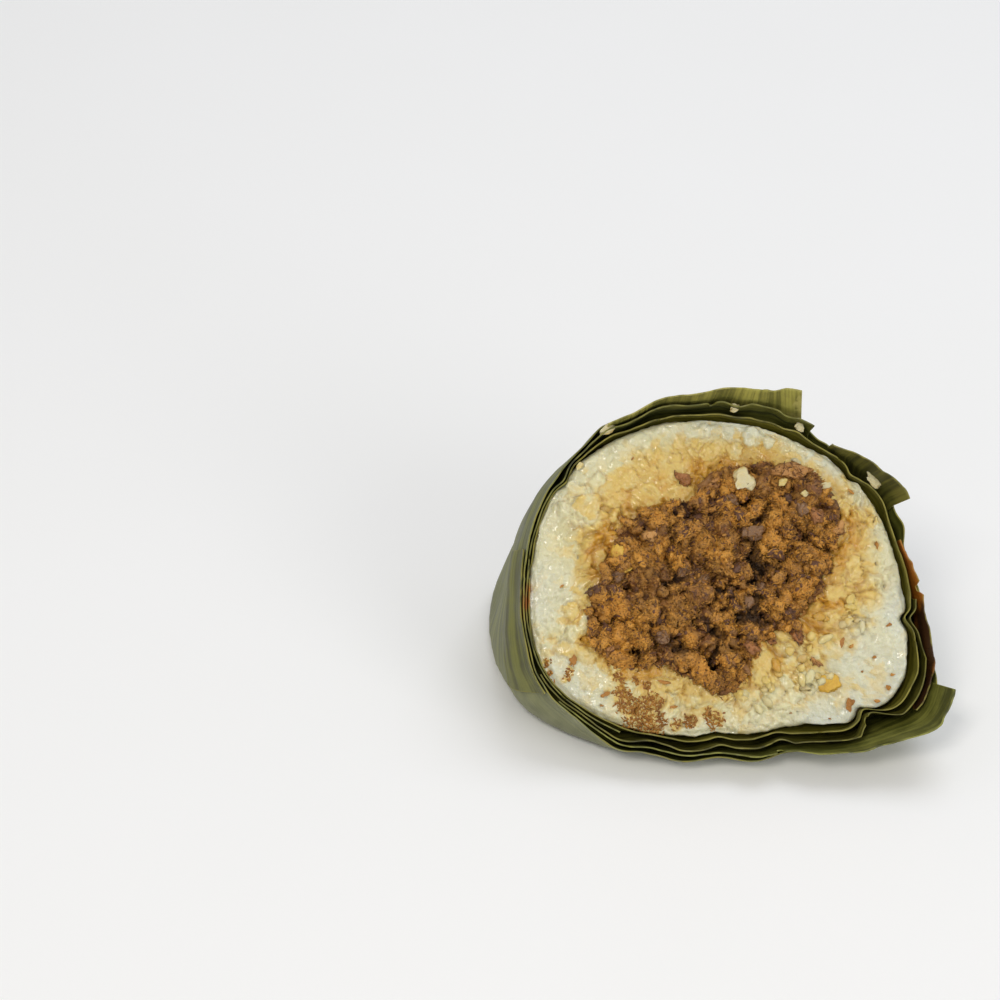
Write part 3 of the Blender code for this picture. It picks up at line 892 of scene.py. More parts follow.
LEAVES = (
    Leaf("leaf_inner", Slot.LEAF_INSIDE, 0, 360, 40.5, (0.0, 0.0, 0.0, 0.0, 0.0),
         (0.2, 0.2, 0.2, 0.3, 0.2),
         (1.0, 0.8, 0.5, 1.2, 1.0), (0.2, 0.1, 0.2, 0.5, 0.2), 17, 0.4, cling=0.3,
         stains=((185.0, 0.0, 3.0, 0.5),)),
    Leaf("leaf_second", Slot.LEAF_INSIDE, 58, 236, 13.0, (0.0, 0.1, 0.0, 0.2, 0.3),
         (0.9, 1.1, 0.2, 0.5, 0.3),
         (2.8, 2.4, 1.0, 1.2, 2.2), (0.2, 0.2, 0.1, 0.3, 0.5), 16, 1.9, ragged=0.5, cling=0.75,
         stains=((187.0, -1.0, 4.0, 0.4),)),
    Leaf("leaf_third", Slot.LEAF_INSIDE, -152, -6, 7.0, (0.1, 0.2, 0.2, 0.2, 0.0),
         (0.2, 0.3, 0.4, 0.3, 0.2),
         (1.2, 2.2, 2.6, 2.0, 1.0), (0.3, 0.6, 0.6, 0.4, 0.2), 15, 3.1, ragged=0.5),
    Leaf("leaf_stained", Slot.LEAF_STAINED, -34, 12, 7.0, (0.1, 0.1, 0.0), (0.5, 0.6, 0.0),
         (1.6, 2.6, 1.2), (0.2, 0.3, 0.1), 21, 0.7, ragged=1.3,
         stains=((0.0, 0.0, 11.0, 0.62), (-16.0, -1.0, 8.0, 1.2), (-28.0, -1.0, 6.0, 1.2))),
    Leaf("leaf_bottom", Slot.LEAF_LIGHT, -143, -26, 7.0, (0.1, 0.1, 0.1, 0.6, 0.4),
         (0.1, 0.1, 0.4, 2.2, 3.6),
         (1.4, 2.6, 3.2, 4.2, 5.2), (0.2, 0.5, 0.5, 0.4, 0.3), 14, 4.4, ragged=0.8),
    Leaf("leaf_right_flap", Slot.LEAF_INSIDE, 18, 50, 7.0, (0.2, 0.3, 0.1), (3.8, 2.7, 0.3),
         (4.0, 4.4, 3.4), (0.3, 0.4, 0.2), 26, 2.2, ragged=0.6, trim=4.5),
    Leaf("leaf_top_flap", Slot.LEAF_LIGHT, 62, 127, 7.0, (0.1, 0.1, 0.0), (3.4, 0.6, 0.2),
         (5.4, 5.2, 3.0), (0.2, 0.3, 0.2), 18, 5.2, ragged=0.3, shear=0.9),
    Leaf("leaf_outer", Slot.LEAF_OUTSIDE, 0, 360, 40.5, (0.0, 0.0, 0.1, 0.1, 0.0),
         (0.0, 0.0, 0.4, 0.2, 0.0),
         (-0.6, -1.4, 2.2, 1.6, -0.6), (0.1, 0.0, 0.2, 0.2, 0.1), 13, 0.9, seat=1.0,
         stains=((188.0, -1.0, 4.6, 0.32),)),
    Leaf("leaf_left_fold", Slot.LEAF_LIGHT, 172, 213, 7.0, (0.1, 0.2, 0.1), (0.2, 0.7, 1.4),
         (0.6, 2.4, 2.6), (0.2, 0.3, 0.3), 20, 1.1),
    Leaf("leaf_wrap", Slot.LEAF_OUTSIDE, 24, 144, 34.5, (0.0, 0.0, 0.0), (0.0, 0.0, 0.0),
         (-5.0, -9.0, -17.0), (0.0, 0.0, 0.0), 1, 0.0, lift=0.5, slant=1.2),
)

LEAF_FINISHES = {
    "leaf_inner": BoiledLeaf("boiled_leaf_wet_inside", light="7C7628", dark="4A470F", edge="8D8434"),
    # A darker copy of the leaf finish: the band this leaf shows lies in shade, and part of that shade is
    # painted into its colour.
    "leaf_second": BoiledLeaf("boiled_leaf_dark", light="5A5A20", dark="2E300E", edge="7F7B34"),
    "leaf_third": BoiledLeaf("boiled_leaf_third", light="6A6624", dark="3A380F", edge="7F7930"),
    "leaf_stained": BoiledLeaf("boiled_leaf_stained", light="6A5A1C", dark="33300E", run=Run.INTO_DEPTH),
    "leaf_bottom": BoiledLeaf("boiled_leaf_light", light="767630", dark="424414", edge="8A8A3C"),
    "leaf_right_flap": BoiledLeaf("boiled_leaf_folded", light="6E6A2A", dark="3A3A14", run=Run.INTO_DEPTH),
    "leaf_top_flap": BoiledLeaf("boiled_leaf_dried", light="A8A24C", dark="66642A", edge="A8A058",
                                run=Run.INTO_DEPTH, shine=0.5),
    "leaf_outer": BoiledLeaf("boiled_leaf_outer", light="7C7E38", dark="4A4C18", bloom=0.8, shine=0.45),
    "leaf_left_fold": BoiledLeaf("boiled_leaf_left", light="76762E", dark="444414", bloom=0.3),
    "leaf_wrap": BoiledLeaf("boiled_leaf_wrap", light="5E6228", dark="34380F", bloom=0.6, shine=0.45),
}


@dataclass(frozen=True)
class LeafSheets:
    """Every leaf as a thin sheet with fine wrinkles and an uneven cut edge."""

    stack: LeafStack
    face: FaceFrame
    thickness: float = 0.24
    column_step: float = 0.35  # between columns at the rim, in millimetres
    first_row: float = 0.35
    growth: float = 1.13  # of the rows' spacing with depth
    widest_row: float = 2.6
    wrinkle: float = 0.12
    wrinkle_size: float = 2.8
    radius: float = 32.0  # of a usual leaf at the cut, which turns angles into millimetres
    stain_deep: float = 1.3  # how much sooner a stain fades with depth than along the rim
    most_lean: float = 1.4
    left: tuple[float, float] = (185.0, 46.0)  # where leaves lean in, and half how wide, in degrees
    press: float = 0.92  # how much of the air beneath them goes there
    bloomy: tuple[float, float] = (236.0, 24.0)  # where the waxy bloom is strongest, in degrees
    least_bloom: float = 0.1
    shear_fade: float = math.radians(25.0)
    inland: float = 99.0  # stands for a place far from any side edge

    def turns(self, leaf: Leaf) -> Numbers:
        """Works out the columns of a sheet.

        Args:
            leaf: The leaf.

        Returns:
            Their angles, an even number of them so that a cup can close.
        """
        start = math.radians(leaf.start + leaf.trim)
        span = math.radians(leaf.end) - start
        count = int(span * self.radius / self.column_step / 2) * 2
        return start + span * (np.arange(count) / count if leaf.whole else np.linspace(0, 1, count))

    def depths(self, leaf: Leaf, front: Numbers) -> Numbers:
        """Works out the rows of a sheet, closer together near the cut.

        Args:
            leaf: The leaf.
            front: Depth of its uneven front edge at each column.

        Returns:
            Rows of depths from that edge inwards.
        """
        steps = [0.0]
        while sum(steps) < leaf.deep - front.max():
            steps.append(min(self.first_row * self.growth ** (len(steps) - 1), self.widest_row))
        share = np.cumsum(steps) / sum(steps)
        return front + share[:, None] * (leaf.deep - front)

    def front(self, leaf: Leaf, turn: Numbers) -> Numbers:
        """Works out the cut edge: uneven, with a few small tears.

        Args:
            leaf: The leaf.
            turn: Angles of its columns.

        Returns:
            Depth of the edge at each column.
        """
        share = (turn - math.radians(leaf.start)) / math.radians(leaf.end - leaf.start)
        place = placed(self.radius, turn)
        seed = len(leaf.name) * 7 + int(leaf.start)
        uneven = rough(place, 5.0, seed, 4) * leaf.ragged
        tears = eased((noise(place, 1.6, seed + 9) - 0.72) / 0.2) * leaf.ragged * 2.2
        return tears + uneven - along(leaf.front, share)

    def stain(self, leaf: Leaf, turn: Numbers, depth: Numbers) -> Numbers:
        """Works out the stains of a leaf.

        Args:
            leaf: The leaf.
            turn: Turns of its points.
            depth: Depths of its points.

        Returns:
            How stained each point is.
        """
        most = np.zeros_like(turn)
        for degrees, deep, reach, strength in leaf.stains:
            across = turned_away(turn, degrees) * self.radius
            away = np.hypot(across, (depth - deep) * self.stain_deep) / reach
            most = np.maximum(most, strength * eased(1.25 - away))
        return most

    def lean(self, leaf: Leaf, turn: Numbers, depth: Numbers) -> Numbers:
        """Works out how a leaf clings to the others near the cut.

        Args:
            leaf: The leaf.
            turn: Turns of its points.
            depth: Depths of its points.

        Returns:
            How far it leans out over the others' edges, or at the left in on the rice.
        """
        middle, half = self.left
        left = eased((1.35 - np.abs(np.degrees(turn) % 360 - middle) / half) * 1.6)
        share = leaf.cling * eased(0.7 + 0.9 * rough(placed(self.radius, turn), 8.0, 91, 2))
        beneath, beyond = self.stack.slack(leaf, turn, depth)
        out = np.minimum(self.most_lean, share * beyond) * eased((4.0 - depth) / 3.4)
        return (1 - left) * out - left * self.press * beneath * eased((6.0 - depth) / 5.5)

    def sheet(self, leaf: Leaf) -> bpy.types.Object:
        """Builds one leaf.

        Args:
            leaf: Which leaf.

        Returns:
            Its piece.
        """
        wedge = self.stack.wedge
        row = self.turns(leaf)
        front = self.front(leaf, row)
        depth = self.depths(leaf, front)
        near_start = eased(1 - (row - row[0]) / self.shear_fade)
        turn = row + math.radians(leaf.shear) * np.maximum(-depth, 0) * near_start
        calm = 0.25 + 0.75 * eased(1 - (depth - 2.0) / 12.0)
        place = placed(self.radius, turn, depth)
        bend = rough(place, self.wrinkle_size, len(leaf.name), 2) * self.wrinkle * calm
        slack = self.stack.room - self.thickness
        if leaf.seat == 1.0:
            bend = np.minimum(bend, 0.0)
        inside = self.stack.inside(leaf, turn, depth)
        inner = inside + slack * leaf.seat + bend + self.lean(leaf, turn, depth)
        points = [wedge.at(inner + thick, turn, depth).reshape(-1, 3) for thick in (0.0, self.thickness)]
        count = depth.size
        numbers = np.arange(count).reshape(depth.shape)
        closed = self.stack.closed(leaf)
        rows = zipped(numbers) if closed else numbers
        sheets = grid_faces(rows, leaf.whole)
        rims = [grid_faces(np.stack([numbers[0], numbers[0] + count]), leaf.whole)]
        if not closed:
            rims.append(grid_faces(np.stack([numbers[-1], numbers[-1] + count]), leaf.whole))
        if not leaf.whole:
            sides = [numbers[:, at] for at in (0, -1)]
            rims += [grid_faces(np.stack([side, side + count]), False) for side in sides]
        faces = np.concatenate([sheets, sheets + count, *rims]).tolist()
        slanted = row + math.radians(leaf.slant) * depth
        sheet = placed(self.radius, slanted, depth).reshape(-1, 3)
        from_side = np.full_like(depth, self.inland)
        if not leaf.whole:
            from_side = np.minimum(turn - turn[0, 0], turn[0, -1] - turn) * self.radius
        edge = np.minimum(depth - front, from_side).ravel()
        stain = self.stain(leaf, turn, depth).ravel()
        middle, half = self.bloomy
        low_left = eased(1.5 - np.abs(np.degrees(turn) % 360 - middle) / half).ravel()
        bloom = self.least_bloom + (1 - self.least_bloom) * low_left
        outside = np.concatenate([np.zeros(count), bloom])
        attributes = {"sheet": np.tile(sheet, (2, 1)), "edge": np.tile(edge, 2), "outside": outside,
                      "stain": np.tile(stain, 2)}
        finish = LEAF_FINISHES[leaf.name].build()
        whole = self.face.metres(np.concatenate(points))
        piece = add_piece(leaf.name + "_sheet", whole, faces, finish, attributes)
        piece.data.set_sharp_from_angle(angle=math.radians(60))
        return piece

    def build(self) -> None:
        """Builds every leaf in place of its solid."""
        for leaf in self.stack.leaves:
            hand_in(self.sheet(leaf), leaf.slot, leaf.name)


@dataclass(frozen=True)
class Bed:
    """Overlapping oval pieces on the cut face, scattered evenly and turned at random, in half sizes."""

    length: float
    width: float
    height: float
    step: float
    dip: float  # most slope of a piece, in degrees
    sink: float  # how unevenly high the pieces lie
    seed: int

    def relief(self, points: Numbers, reach: float) -> tuple[Numbers, Numbers, Numbers]:
        """Works out the bed's surface.

        Args:
            points: Places (across, up) on the face.
            reach: How far from the centre the bed goes.

        Returns:
            The height of the highest piece at each place, a random number from 0 to 1 that goes with that
            piece, and how much higher it is than the next one.
        """
        draw = np.random.default_rng(self.seed)
        first = np.full(len(points), -self.height - self.sink)
        second = first.copy()
        pick = np.zeros(len(points))
        order = np.argsort(points[:, 1])
        sorted_up = points[order, 1]
        axis = np.arange(-reach, reach, self.step)
        for row, up in enumerate(axis * 0.87):
            for across in axis + (row % 2) * self.step / 2:
                middle = np.array((across, up)) + draw.uniform(-0.45, 0.45, 2) * self.step
                size = draw.uniform(0.78, 1.15, 3) * (self.length, self.width, self.height)
                turn, dip = draw.uniform(0, math.pi), math.radians(draw.uniform(-self.dip, self.dip))
                base, number = draw.uniform(-self.sink, 0.0), draw.uniform()
                if np.hypot(*middle) > reach:
                    continue
                band = np.searchsorted(sorted_up, (middle[1] - size[0], middle[1] + size[0]))
                near = order[slice(*band)]
                away = points[near] - middle
                lengthways = away @ (math.cos(turn), math.sin(turn))
                sideways = away @ (-math.sin(turn), math.cos(turn)) + 0.06 * lengthways**2 * (number - 0.5)
                left = 1 - (lengthways / size[0]) ** 2 - (sideways / size[1]) ** 2
                top = base + math.tan(dip) * lengthways + np.sqrt(np.clip(left, 0, 1)) * size[2]
                top = np.where(left > 0, top, -99.0)
                higher = top > first[near]
                second[near] = np.where(higher, first[near], np.maximum(second[near], top))
                pick[near] = np.where(higher, number, pick[near])
                first[near] = np.where(higher, top, first[near])
        return first, pick, first - second


@dataclass(frozen=True)
class Patch:
    """A round place on the cut face, with how strongly it has what it marks."""

    across: float
    up: float
    reach: float
    strength: float = 1.0


def as_patches(*rows: Values) -> tuple[Patch, ...]:
    """Patches from rows of their values."""
    return tuple(Patch(*row) for row in rows)


def marked(points: Numbers, patches: tuple[Patch, ...]) -> Numbers:
    """Reads soft-edged patches.

    Args:
        points: Places (across, up) on the face.
        patches: The patches.

    Returns:
        How strongly each place is marked.
    """
    most = np.zeros(len(points))
    for patch in patches:
        away = np.hypot(points[:, 0] - patch.across, points[:, 1] - patch.up) / patch.reach
        most = np.maximum(most, patch.strength * eased(1.4 - away))
    return most


@dataclass(frozen=True)
class Chunk:
    """A separate lump on the cut face, in millimetres, its long side turned from the width in degrees."""

    across: float
    up: float
    length: float
    width: float
    turn: float = 0.0
    lift: float = 0.2  # of its sliced top above what it lies in
    soak: float = 0.5

    def reach(self, points: Numbers, seed: int) -> Numbers:
        """Works out where places lie in the lump.

        Args:
            points: Places (across, up) on the face.
            seed: Which uneven outline.

        Returns:
            How far each is from the middle, as a share of the way to the outline.
        """
        away = points - (self.across, self.up)
        away = away + 0.24 * self.width * drift(points, 0.5 * self.length, seed, seed + 5)
        turn = math.radians(self.turn)
        lengthways = np.abs(away @ (math.cos(turn), math.sin(turn))) * 2 / self.length
        sideways = np.abs(away @ (-math.sin(turn), math.cos(turn))) * 2 / self.width
        return (lengthways**2.6 + sideways**2.6) ** (1 / 2.6)


def as_chunks(*rows: Values) -> tuple[Chunk, ...]:
    """Chunks from rows of their values."""
    return tuple(Chunk(*row) for row in rows)


GOLDEN_CHUNKS = as_chunks(
    (-21.8, 3.3, 4.7, 3.3, 95, 0.45, 0.66), (-12.7, 14.4, 6.6, 4.6, 10, 0.3, 0.56),
    (-6.9, 14.9, 5.2, 4.6, 150, 0.35, 0.64), (-19.3, 11.1, 3.4, 2.0, 60, 0.3, 0.6),
    (-8.1, 22.0, 2.6, 2.1, 0, 0.35, 0.55), (-24.4, 13.0, 5.2, 4.2, 60, 0.5, 0.3),
    (-26.4, 16.2, 3.2, 2.8, 0, 0.3, 0.18), (-24.6, -8.4, 4.0, 2.6, 80, 0.5, 0.22),
    (-27.0, -10.1, 3.4, 3.0, 100, 0.7, 0.14), (-26.4, -13.6, 8.2, 3.4, -12, 0.1, 0.42),
    (-16.9, -19.8, 2.6, 2.3, 0, 0.4, 0.2), (-19.4, -16.0, 3.4, 2.2, 30, 0.3, 0.36),
    (7.7, -16.4, 7.4, 4.0, 80, 0.95, 0.5), (3.4, -16.2, 3.4, 3.0, 30, 0.6, 0.52),
    (8.7, -10.2, 3.6, 2.7, 120, 0.5, 0.58), (11.4, -10.4, 3.3, 2.4, 80, 0.5, 0.64),
    (17.3, -12.7, 4.2, 3.5, 110, 0.6, 0.47), (21.1, -12.4, 5.2, 4.2, 125, 0.7, 0.42),
    (9.6, 19.2, 2.9, 2.7, 0, 0.5, 0.52), (7.0, 20.3, 2.9, 2.6, 0, 0.4, 0.7),
    (21.3, -2.2, 4.4, 3.4, 20, 0.5, 0.62), (24.6, -4.6, 3.2, 2.6, 70, 0.4, 0.56),
    (20.4, -6.6, 3.4, 2.8, 100, 0.4, 0.6), (23.2, 12.4, 2.6, 2.0, 30, 0.3, 0.6),
    (18.2, 8.9, 3.0, 2.1, 20, 0.8, 0.6), (-1.5, 22.6, 4.4, 3.0, 20, 0.2, 0.6),
    (3.0, 23.2, 3.2, 2.6, 80, 0.2, 0.5), (-16.5, 17.2, 4.0, 3.0, 35, 0.2, 0.42),
    (24.5, 2.6, 3.6, 2.8, 60, 0.2, 0.46), (-10.5, -19.5, 5.0, 3.0, 160, 0.3, 0.5),
    (-5.2, -22.4, 3.6, 2.4, 20, 0.3, 0.34), (13.0, -15.2, 3.0, 2.0, 140, 0.7, 0.34),
    (12.2, -18.6, 2.8, 2.2, 20, 0.6, 0.2), (15.8, -18.2, 2.9, 2.1, 120, 0.7, 0.14),
    (9.6, -21.2, 2.7, 2.2, 70, 0.5, 0.12), (6.0, -21.4, 2.6, 2.0, 20, 0.4, 0.2),
    (6.2, 26.2, 4.4, 3.6, -50, 0.8, 0.03), (9.2, 25.2, 3.0, 2.2, -40, 0.6, 0.06),
    (-27.2, -6.0, 3.4, 2.8, 60, 0.2, 0.6), (-3.4, 27.0, 4.0, 2.2, 12, 0.5, 0.04),
    (-22.6, 17.6, 3.6, 2.6, 40, 0.4, 0.14), (13.6, -21.6, 3.2, 2.4, 10, 0.4, 0.08),
    (25.4, -9.4, 3.6, 2.6, 40, 0.3, 0.34),
)
BEAN_CHUNKS = as_chunks(
    (-19.2, 4.4, 2.9, 2.0, 70, 0.1), (-17.6, 1.4, 2.0, 1.3, 20, 0.3), (19.8, -19.1, 4.0, 3.6, 20, 0.5),
)
PALE_CHUNKS = as_chunks(
    (3.9, 17.5, 4.3, 3.7, 40, 1.9, 0.04), (14.2, 21.6, 2.1, 1.1, -20, 0.6, 0.1),
    (18.9, 16.8, 2.2, 1.1, 10, 0.9, 0.1), (15.3, 15.2, 1.3, 0.9, 0, 1.2, 0.1),
    (11.4, 17.4, 1.9, 1.3, 40, 1.0, 0.4), (-20.5, 27.0, 2.5, 1.5, 30, 1.7, 0.1),
    (2.7, 31.0, 1.8, 1.2, 20, 2.2, 0.1), (28.3, 18.1, 3.3, 1.4, -48, 2.0, 0.1),
    (-25.7, 20.3, 1.7, 1.0, 30, 1.6, 0.1), (14.8, 27.6, 1.8, 1.1, -20, 2.2, 0.1),
)
PINK_CHUNKS = as_chunks(
    (13.7, 19.4, 5.8, 3.0, 6, 0.8), (-1.0, 17.4, 6.0, 3.4, 32, 1.0), (-6.6, 17.9, 3.2, 2.0, -20, 0.6),
    (-18.2, 8.2, 3.0, 1.6, -8, 0.7), (21.4, 8.8, 2.8, 2.2, 80, 0.7), (13.8, -10.0, 4.2, 2.8, 85, 1.0),
    (9.4, -11.6, 1.4, 1.0, 0, 1.0), (5.4, -13.0, 3.0, 1.7, -35, 0.9), (-20.6, -13.0, 2.8, 2.0, 60, 0.8),
    (17.3, -15.2, 3.2, 0.9, -38, 0.5), (17.4, 11.0, 3.0, 2.2, 100, 1.0), (-13.4, 7.2, 2.6, 2.0, 20, 1.1),
)
MAUVE_CHUNKS = as_chunks(
    (5.4, 8.2, 4.0, 2.7, 5, 1.3), (-23.2, -2.6, 3.2, 1.6, 25, 0.7), (-19.4, 0.2, 2.4, 2.0, 0, 1.0),
    (20.0, 15.3, 1.6, 1.2, -20, 0.7), (21.4, 13.7, 1.6, 1.0, -60, 0.6), (-7.2, 1.2, 2.3, 1.8, 60, 1.2),
    (4.6, -4.3, 3.4, 2.6, 80, 1.3), (7.0, -1.9, 2.3, 1.8, 10, 1.1), (-10.9, -10.9, 2.6, 1.7, 10, 1.0),
    (2.0, 14.0, 2.6, 1.5, -10, 1.1), (-3.2, -0.4, 2.2, 1.5, 30, 1.1), (14.6, 12.4, 2.2, 1.7, 120, 1.0),
)
FLECKS = as_chunks(
    (-26.9, -15.2, 2.5, 1.5, 62, 0.3), (23.8, -22.9, 2.2, 1.5, 80, 0.3), (31.6, -17.6, 0.9, 0.5, 0, 0.35),
    (30.9, -20.0, 1.0, 0.6, -30, 0.4), (28.6, -22.4, 0.9, 0.5, 0, 0.4), (28.4, -14.3, 0.7, 0.4, 30, 0.25),
    (22.0, -11.8, 1.1, 0.7, 80, 1.15), (23.8, -12.4, 0.8, 0.5, 10, 1.0), (31.0, -8.5, 0.8, 0.5, 0, 0.3),
    (-10.6, -18.9, 2.0, 0.6, -12, 0.7), (-21.4, -21.2, 1.4, 0.8, 30, 0.4),
    (-8.8, -23.4, 1.5, 0.5, 20, 0.35), (-2.6, -24.4, 1.1, 0.5, 70, 0.35),
    (24.4, 16.0, 1.2, 0.5, 140, 0.3), (29.2, 6.0, 1.3, 0.6, 100, 0.3), (-29.0, -1.6, 0.6, 0.3, 40, 0.2),
    (-22.0, -23.2, 0.6, 0.3, 10, 0.25), (12.6, -24.6, 0.5, 0.3, 0, 0.25),
    (26.0, -17.0, 0.5, 0.35, 30, 0.25), (20.0, -25.6, 0.5, 0.3, 0, 0.25),
    (-16.0, 21.6, 0.6, 0.3, 60, 0.25),
)


@dataclass(frozen=True)
class Rice:
    """The rice: a cut face of fused grains, smooth and wet towards its rim, round the filling's pocket."""

    stack: LeafStack
    face: FaceFrame
    columns: int = 800
    rows: int = 52
    side_depths: Values = (
        0.9, 1.6, 2.5, 4.5, 7.0, 10.0, 13.0, 16.5, 20.0, 24.0, 27.5, 31.0, 34.5, 38.0, 40.5)
    pocket_depths: Values = (3.0, 8.0)
    pocket_taper: float = 0.97
    mouth_waver: float = 0.9
    mouth_radius: float = 21.0  # on average
    reach: float = 41.0  # how far from the centre the grains go
    dent_from: float = 2.3  # length from which a lump presses a dent into the rice
    grains: Bed = Bed(2.3, 1.3, 0.95, 1.75, 14.0, 0.6, 11)
    clusters: Bed = Bed(3.3, 2.6, 0.9, 3.8, 8.0, 0.5, 21)
    crumbs: Bed = Bed(0.95, 0.7, 0.45, 1.15, 20.0, 0.4, 22)
    cut: float = 0.28  # height at which the knife sliced the grains
    # Where single grains stand out
    distinct: tuple[Patch, ...] = as_patches(
        (14.5, -16.5, 8.5), (22.0, -10.0, 7.0, 0.9), (26.0, -2.0, 6.0, 0.6), (-25.0, 12.0, 4.5, 0.8),
        (-26.0, -9.0, 3.5, 0.8), (-21.5, 3.5, 4.5, 0.8), (5.0, -18.0, 6.0, 0.9), (0.0, 22.0, 7.0, 0.45),
        (-8.0, -24.0, 5.0, 0.5), (26.0, 10.0, 6.0, 0.4),
    )
    # Where the filling's juice went
    soaked: tuple[Patch, ...] = as_patches(
        (-1.0, 22.0, 6.5, 0.75), (-9.0, 19.5, 6.0, 0.6), (6.0, 22.5, 5.0, 0.5), (-20.0, 6.0, 5.5, 0.75),
        (-16.0, 13.0, 6.5, 0.65), (-21.5, 0.5, 3.5, 0.7), (21.5, -3.5, 4.5, 0.55),
        (18.0, -11.0, 5.5, 0.6), (24.0, 4.0, 4.5, 0.4), (8.0, -15.5, 4.5, 0.55), (-14.0, -16.5, 4.5, 0.6),
        (-22.5, -11.0, 3.5, 0.5), (24.0, 9.0, 5.5, 0.45), (26.5, -1.0, 5.0, 0.4), (27.0, 4.5, 4.5, 0.4),
        (22.0, 15.0, 4.5, 0.35),
    )
    # Where floss fell on it
    spilt: tuple[Patch, ...] = as_patches(
        (-15.0, -24.6, 3.0), (-12.4, -26.4, 2.4), (-18.4, -20.8, 1.7), (-18.9, -18.2, 1.1),
        (-17.6, -23.2, 1.9), (-13.0, -22.8, 2.0), (-5.6, -26.1, 1.3), (-8.2, -26.6, 1.1),
        (-1.3, -25.8, 1.7), (-2.4, -24.2, 0.7), (-13.6, -19.6, 0.8), (-15.6, -18.6, 0.7),
        (-31.9, -15.6, 0.8), (-31.2, -17.4, 0.7), (-30.8, -19.0, 0.5), (-27.8, -17.0, 0.7),
        (-28.4, -18.2, 0.7),
    )
    # Where grains came loose
    crumbly: tuple[Patch, ...] = as_patches(
        (14.0, -18.0, 5.0), (9.0, -20.0, 3.5), (19.0, -9.0, 3.0, 0.6), (6.0, -19.5, 2.5, 0.8),
        (24.5, -6.0, 3.5, 0.4), (-25.0, 13.0, 2.5, 0.4), (-12.0, -20.5, 2.5, 0.5),
    )
    # Where wet starch makes it smooth and bluish white, partly a painted sheen
    wet: tuple[Patch, ...] = as_patches(
        (27.0, -17.0, 9.0, 0.9), (33.0, -7.0, 6.0, 0.8), (20.0, -25.0, 6.0, 0.8), (-31.0, -3.0, 6.5, 0.6),
        (-27.0, -19.0, 7.0, 0.6), (21.0, 23.0, 7.0, 0.5), (2.0, 28.0, 7.0, 0.5),
    )

    @property
    def wedge(self) -> Wedge:
        """The rice's form."""
        return self.stack.wedge

    def relief(self, points: Numbers) -> tuple[Numbers, dict[str, Numbers]]:
        """Works out the cut rice.

        Args:
            points: Places (across, up) on the face.

        Returns:
            Their heights out of the face, and the soak, rim, grain and crevice of each.
        """
        angle, radius = polar(points)
        to_rim = around(self.wedge.rim, angle) - self.stack.fold(angle, np.full_like(angle, 0.9)) - radius
        from_filling = radius - around(self.wedge.filling, angle)
        bent = points + 0.55 * drift(points, 2.2, 32, 36)
        top, pick, lead = self.grains.relief(bent, self.reach)
        big, cluster, gap = self.clusters.relief(bent, self.reach)
        small = self.crumbs.relief(bent, self.reach)[0]
        near = eased(1 - (from_filling - 0.3) / (5.0 + 2.4 * noise(points, 6.0, 40)))
        clear = 0.3 + 0.25 * rough(points, 7.0, 31) + 0.25 * near + marked(points, self.distinct)
        clear = np.clip(clear, 0, 1) * (1 - 0.75 * marked(points, self.wet))
        crease = 1 - eased(lead / 0.35)
        cut = self.cut + 0.12 * noise(points, 4.0, 5)
        sliced = cut - np.log1p(np.exp((cut - top) * 4)) / 4
        blend = eased((clear - 0.55) / 0.4)
        grains = (1 - blend) * sliced + blend * np.maximum(top, sliced)
        roll = 0.55 * noise(points, 11.0, 3) + 0.35 * noise(points, 5.0, 4)
        smear = 0.12 * rough(points, 1.7, 8, 4)
        split = (1 - eased(gap / 0.4)) * eased((clear - 0.2) / 0.5)
        height = (roll + smear + (0.3 + 0.6 * clear) * grains + 0.4 * clear * big
                  + (0.2 + 0.35 * clear) * small)
        height = height - crease * (0.04 + 0.14 * clear) - 0.35 * split
        fine = 0.1 * rough(points, 0.75, 9, 2)
        height = (height + fine) * eased(to_rim / 0.5) - 0.4 * (1 - eased(to_rim / 1.1))
        wide = 0.3 * eased(to_rim / 9.0) * (1 + 0.5 * noise(points, 7.0, 41))
        soak = wide + 0.34 * near + 0.75 * marked(bent, self.soaked) + 0.14 * rough(points, 3.5, 50)
        soak = soak + 0.45 * marked(bent, self.spilt)
        soak = soak + 0.26 * (cluster - 0.5) * eased(to_rim / 7.0)
        # Painted shade: how dark the creases, splits and low places between grains are painted
        crevice = crease * 0.3 + split * 0.8 + np.clip(0.2 - top, 0, 1) * 0.5
        crevice = np.clip(crevice, 0, 1) * (0.1 + 0.9 * clear)
        for number, chunk in enumerate(GOLDEN_CHUNKS):
            away = chunk.reach(points, 100 + number)
            inside = eased((1.04 - away) / 0.3)
            beside = eased(rough(points, 2.6, number + 3, 2) + 0.45)
            round_it = np.exp(-(((away - 1.05) / 0.13) ** 2)) * beside
            raised = (roll + 0.7 * chunk.lift + 0.35 * (1 - away**2)
                      + 0.22 * rough(points, 1.4, number, 3) + 0.3 * small)
            height = height * (1 - inside) + raised * inside - 0.3 * round_it
            soak = soak * (1 - inside) + (chunk.soak + 0.18 * rough(points, 1.6, number + 7)) * inside
            # painted shade in the groove round the chunk
            crevice = np.maximum(crevice * (1 - inside), 0.8 * round_it)
            pick = np.where(inside > 0.5, 0.5, pick)
        for chunk in BEAN_CHUNKS + FLECKS:
            if chunk.length > self.dent_from:
                height = height - 0.4 * eased(1.6 - chunk.reach(points, 1))
        soak = np.clip(soak, 0, 1) * (1 - 0.6 * marked(points, self.wet))
        # bluish white near the rim and on wet patches: partly starch, partly a painted sheen
        pale = np.clip(eased(1 - to_rim / 5.0) * 0.4 + 0.8 * marked(points, self.wet), 0, 1) * (1 - soak)
        return height, {"soak": soak, "rim": pale, "grain": pick, "crevice": crevice}

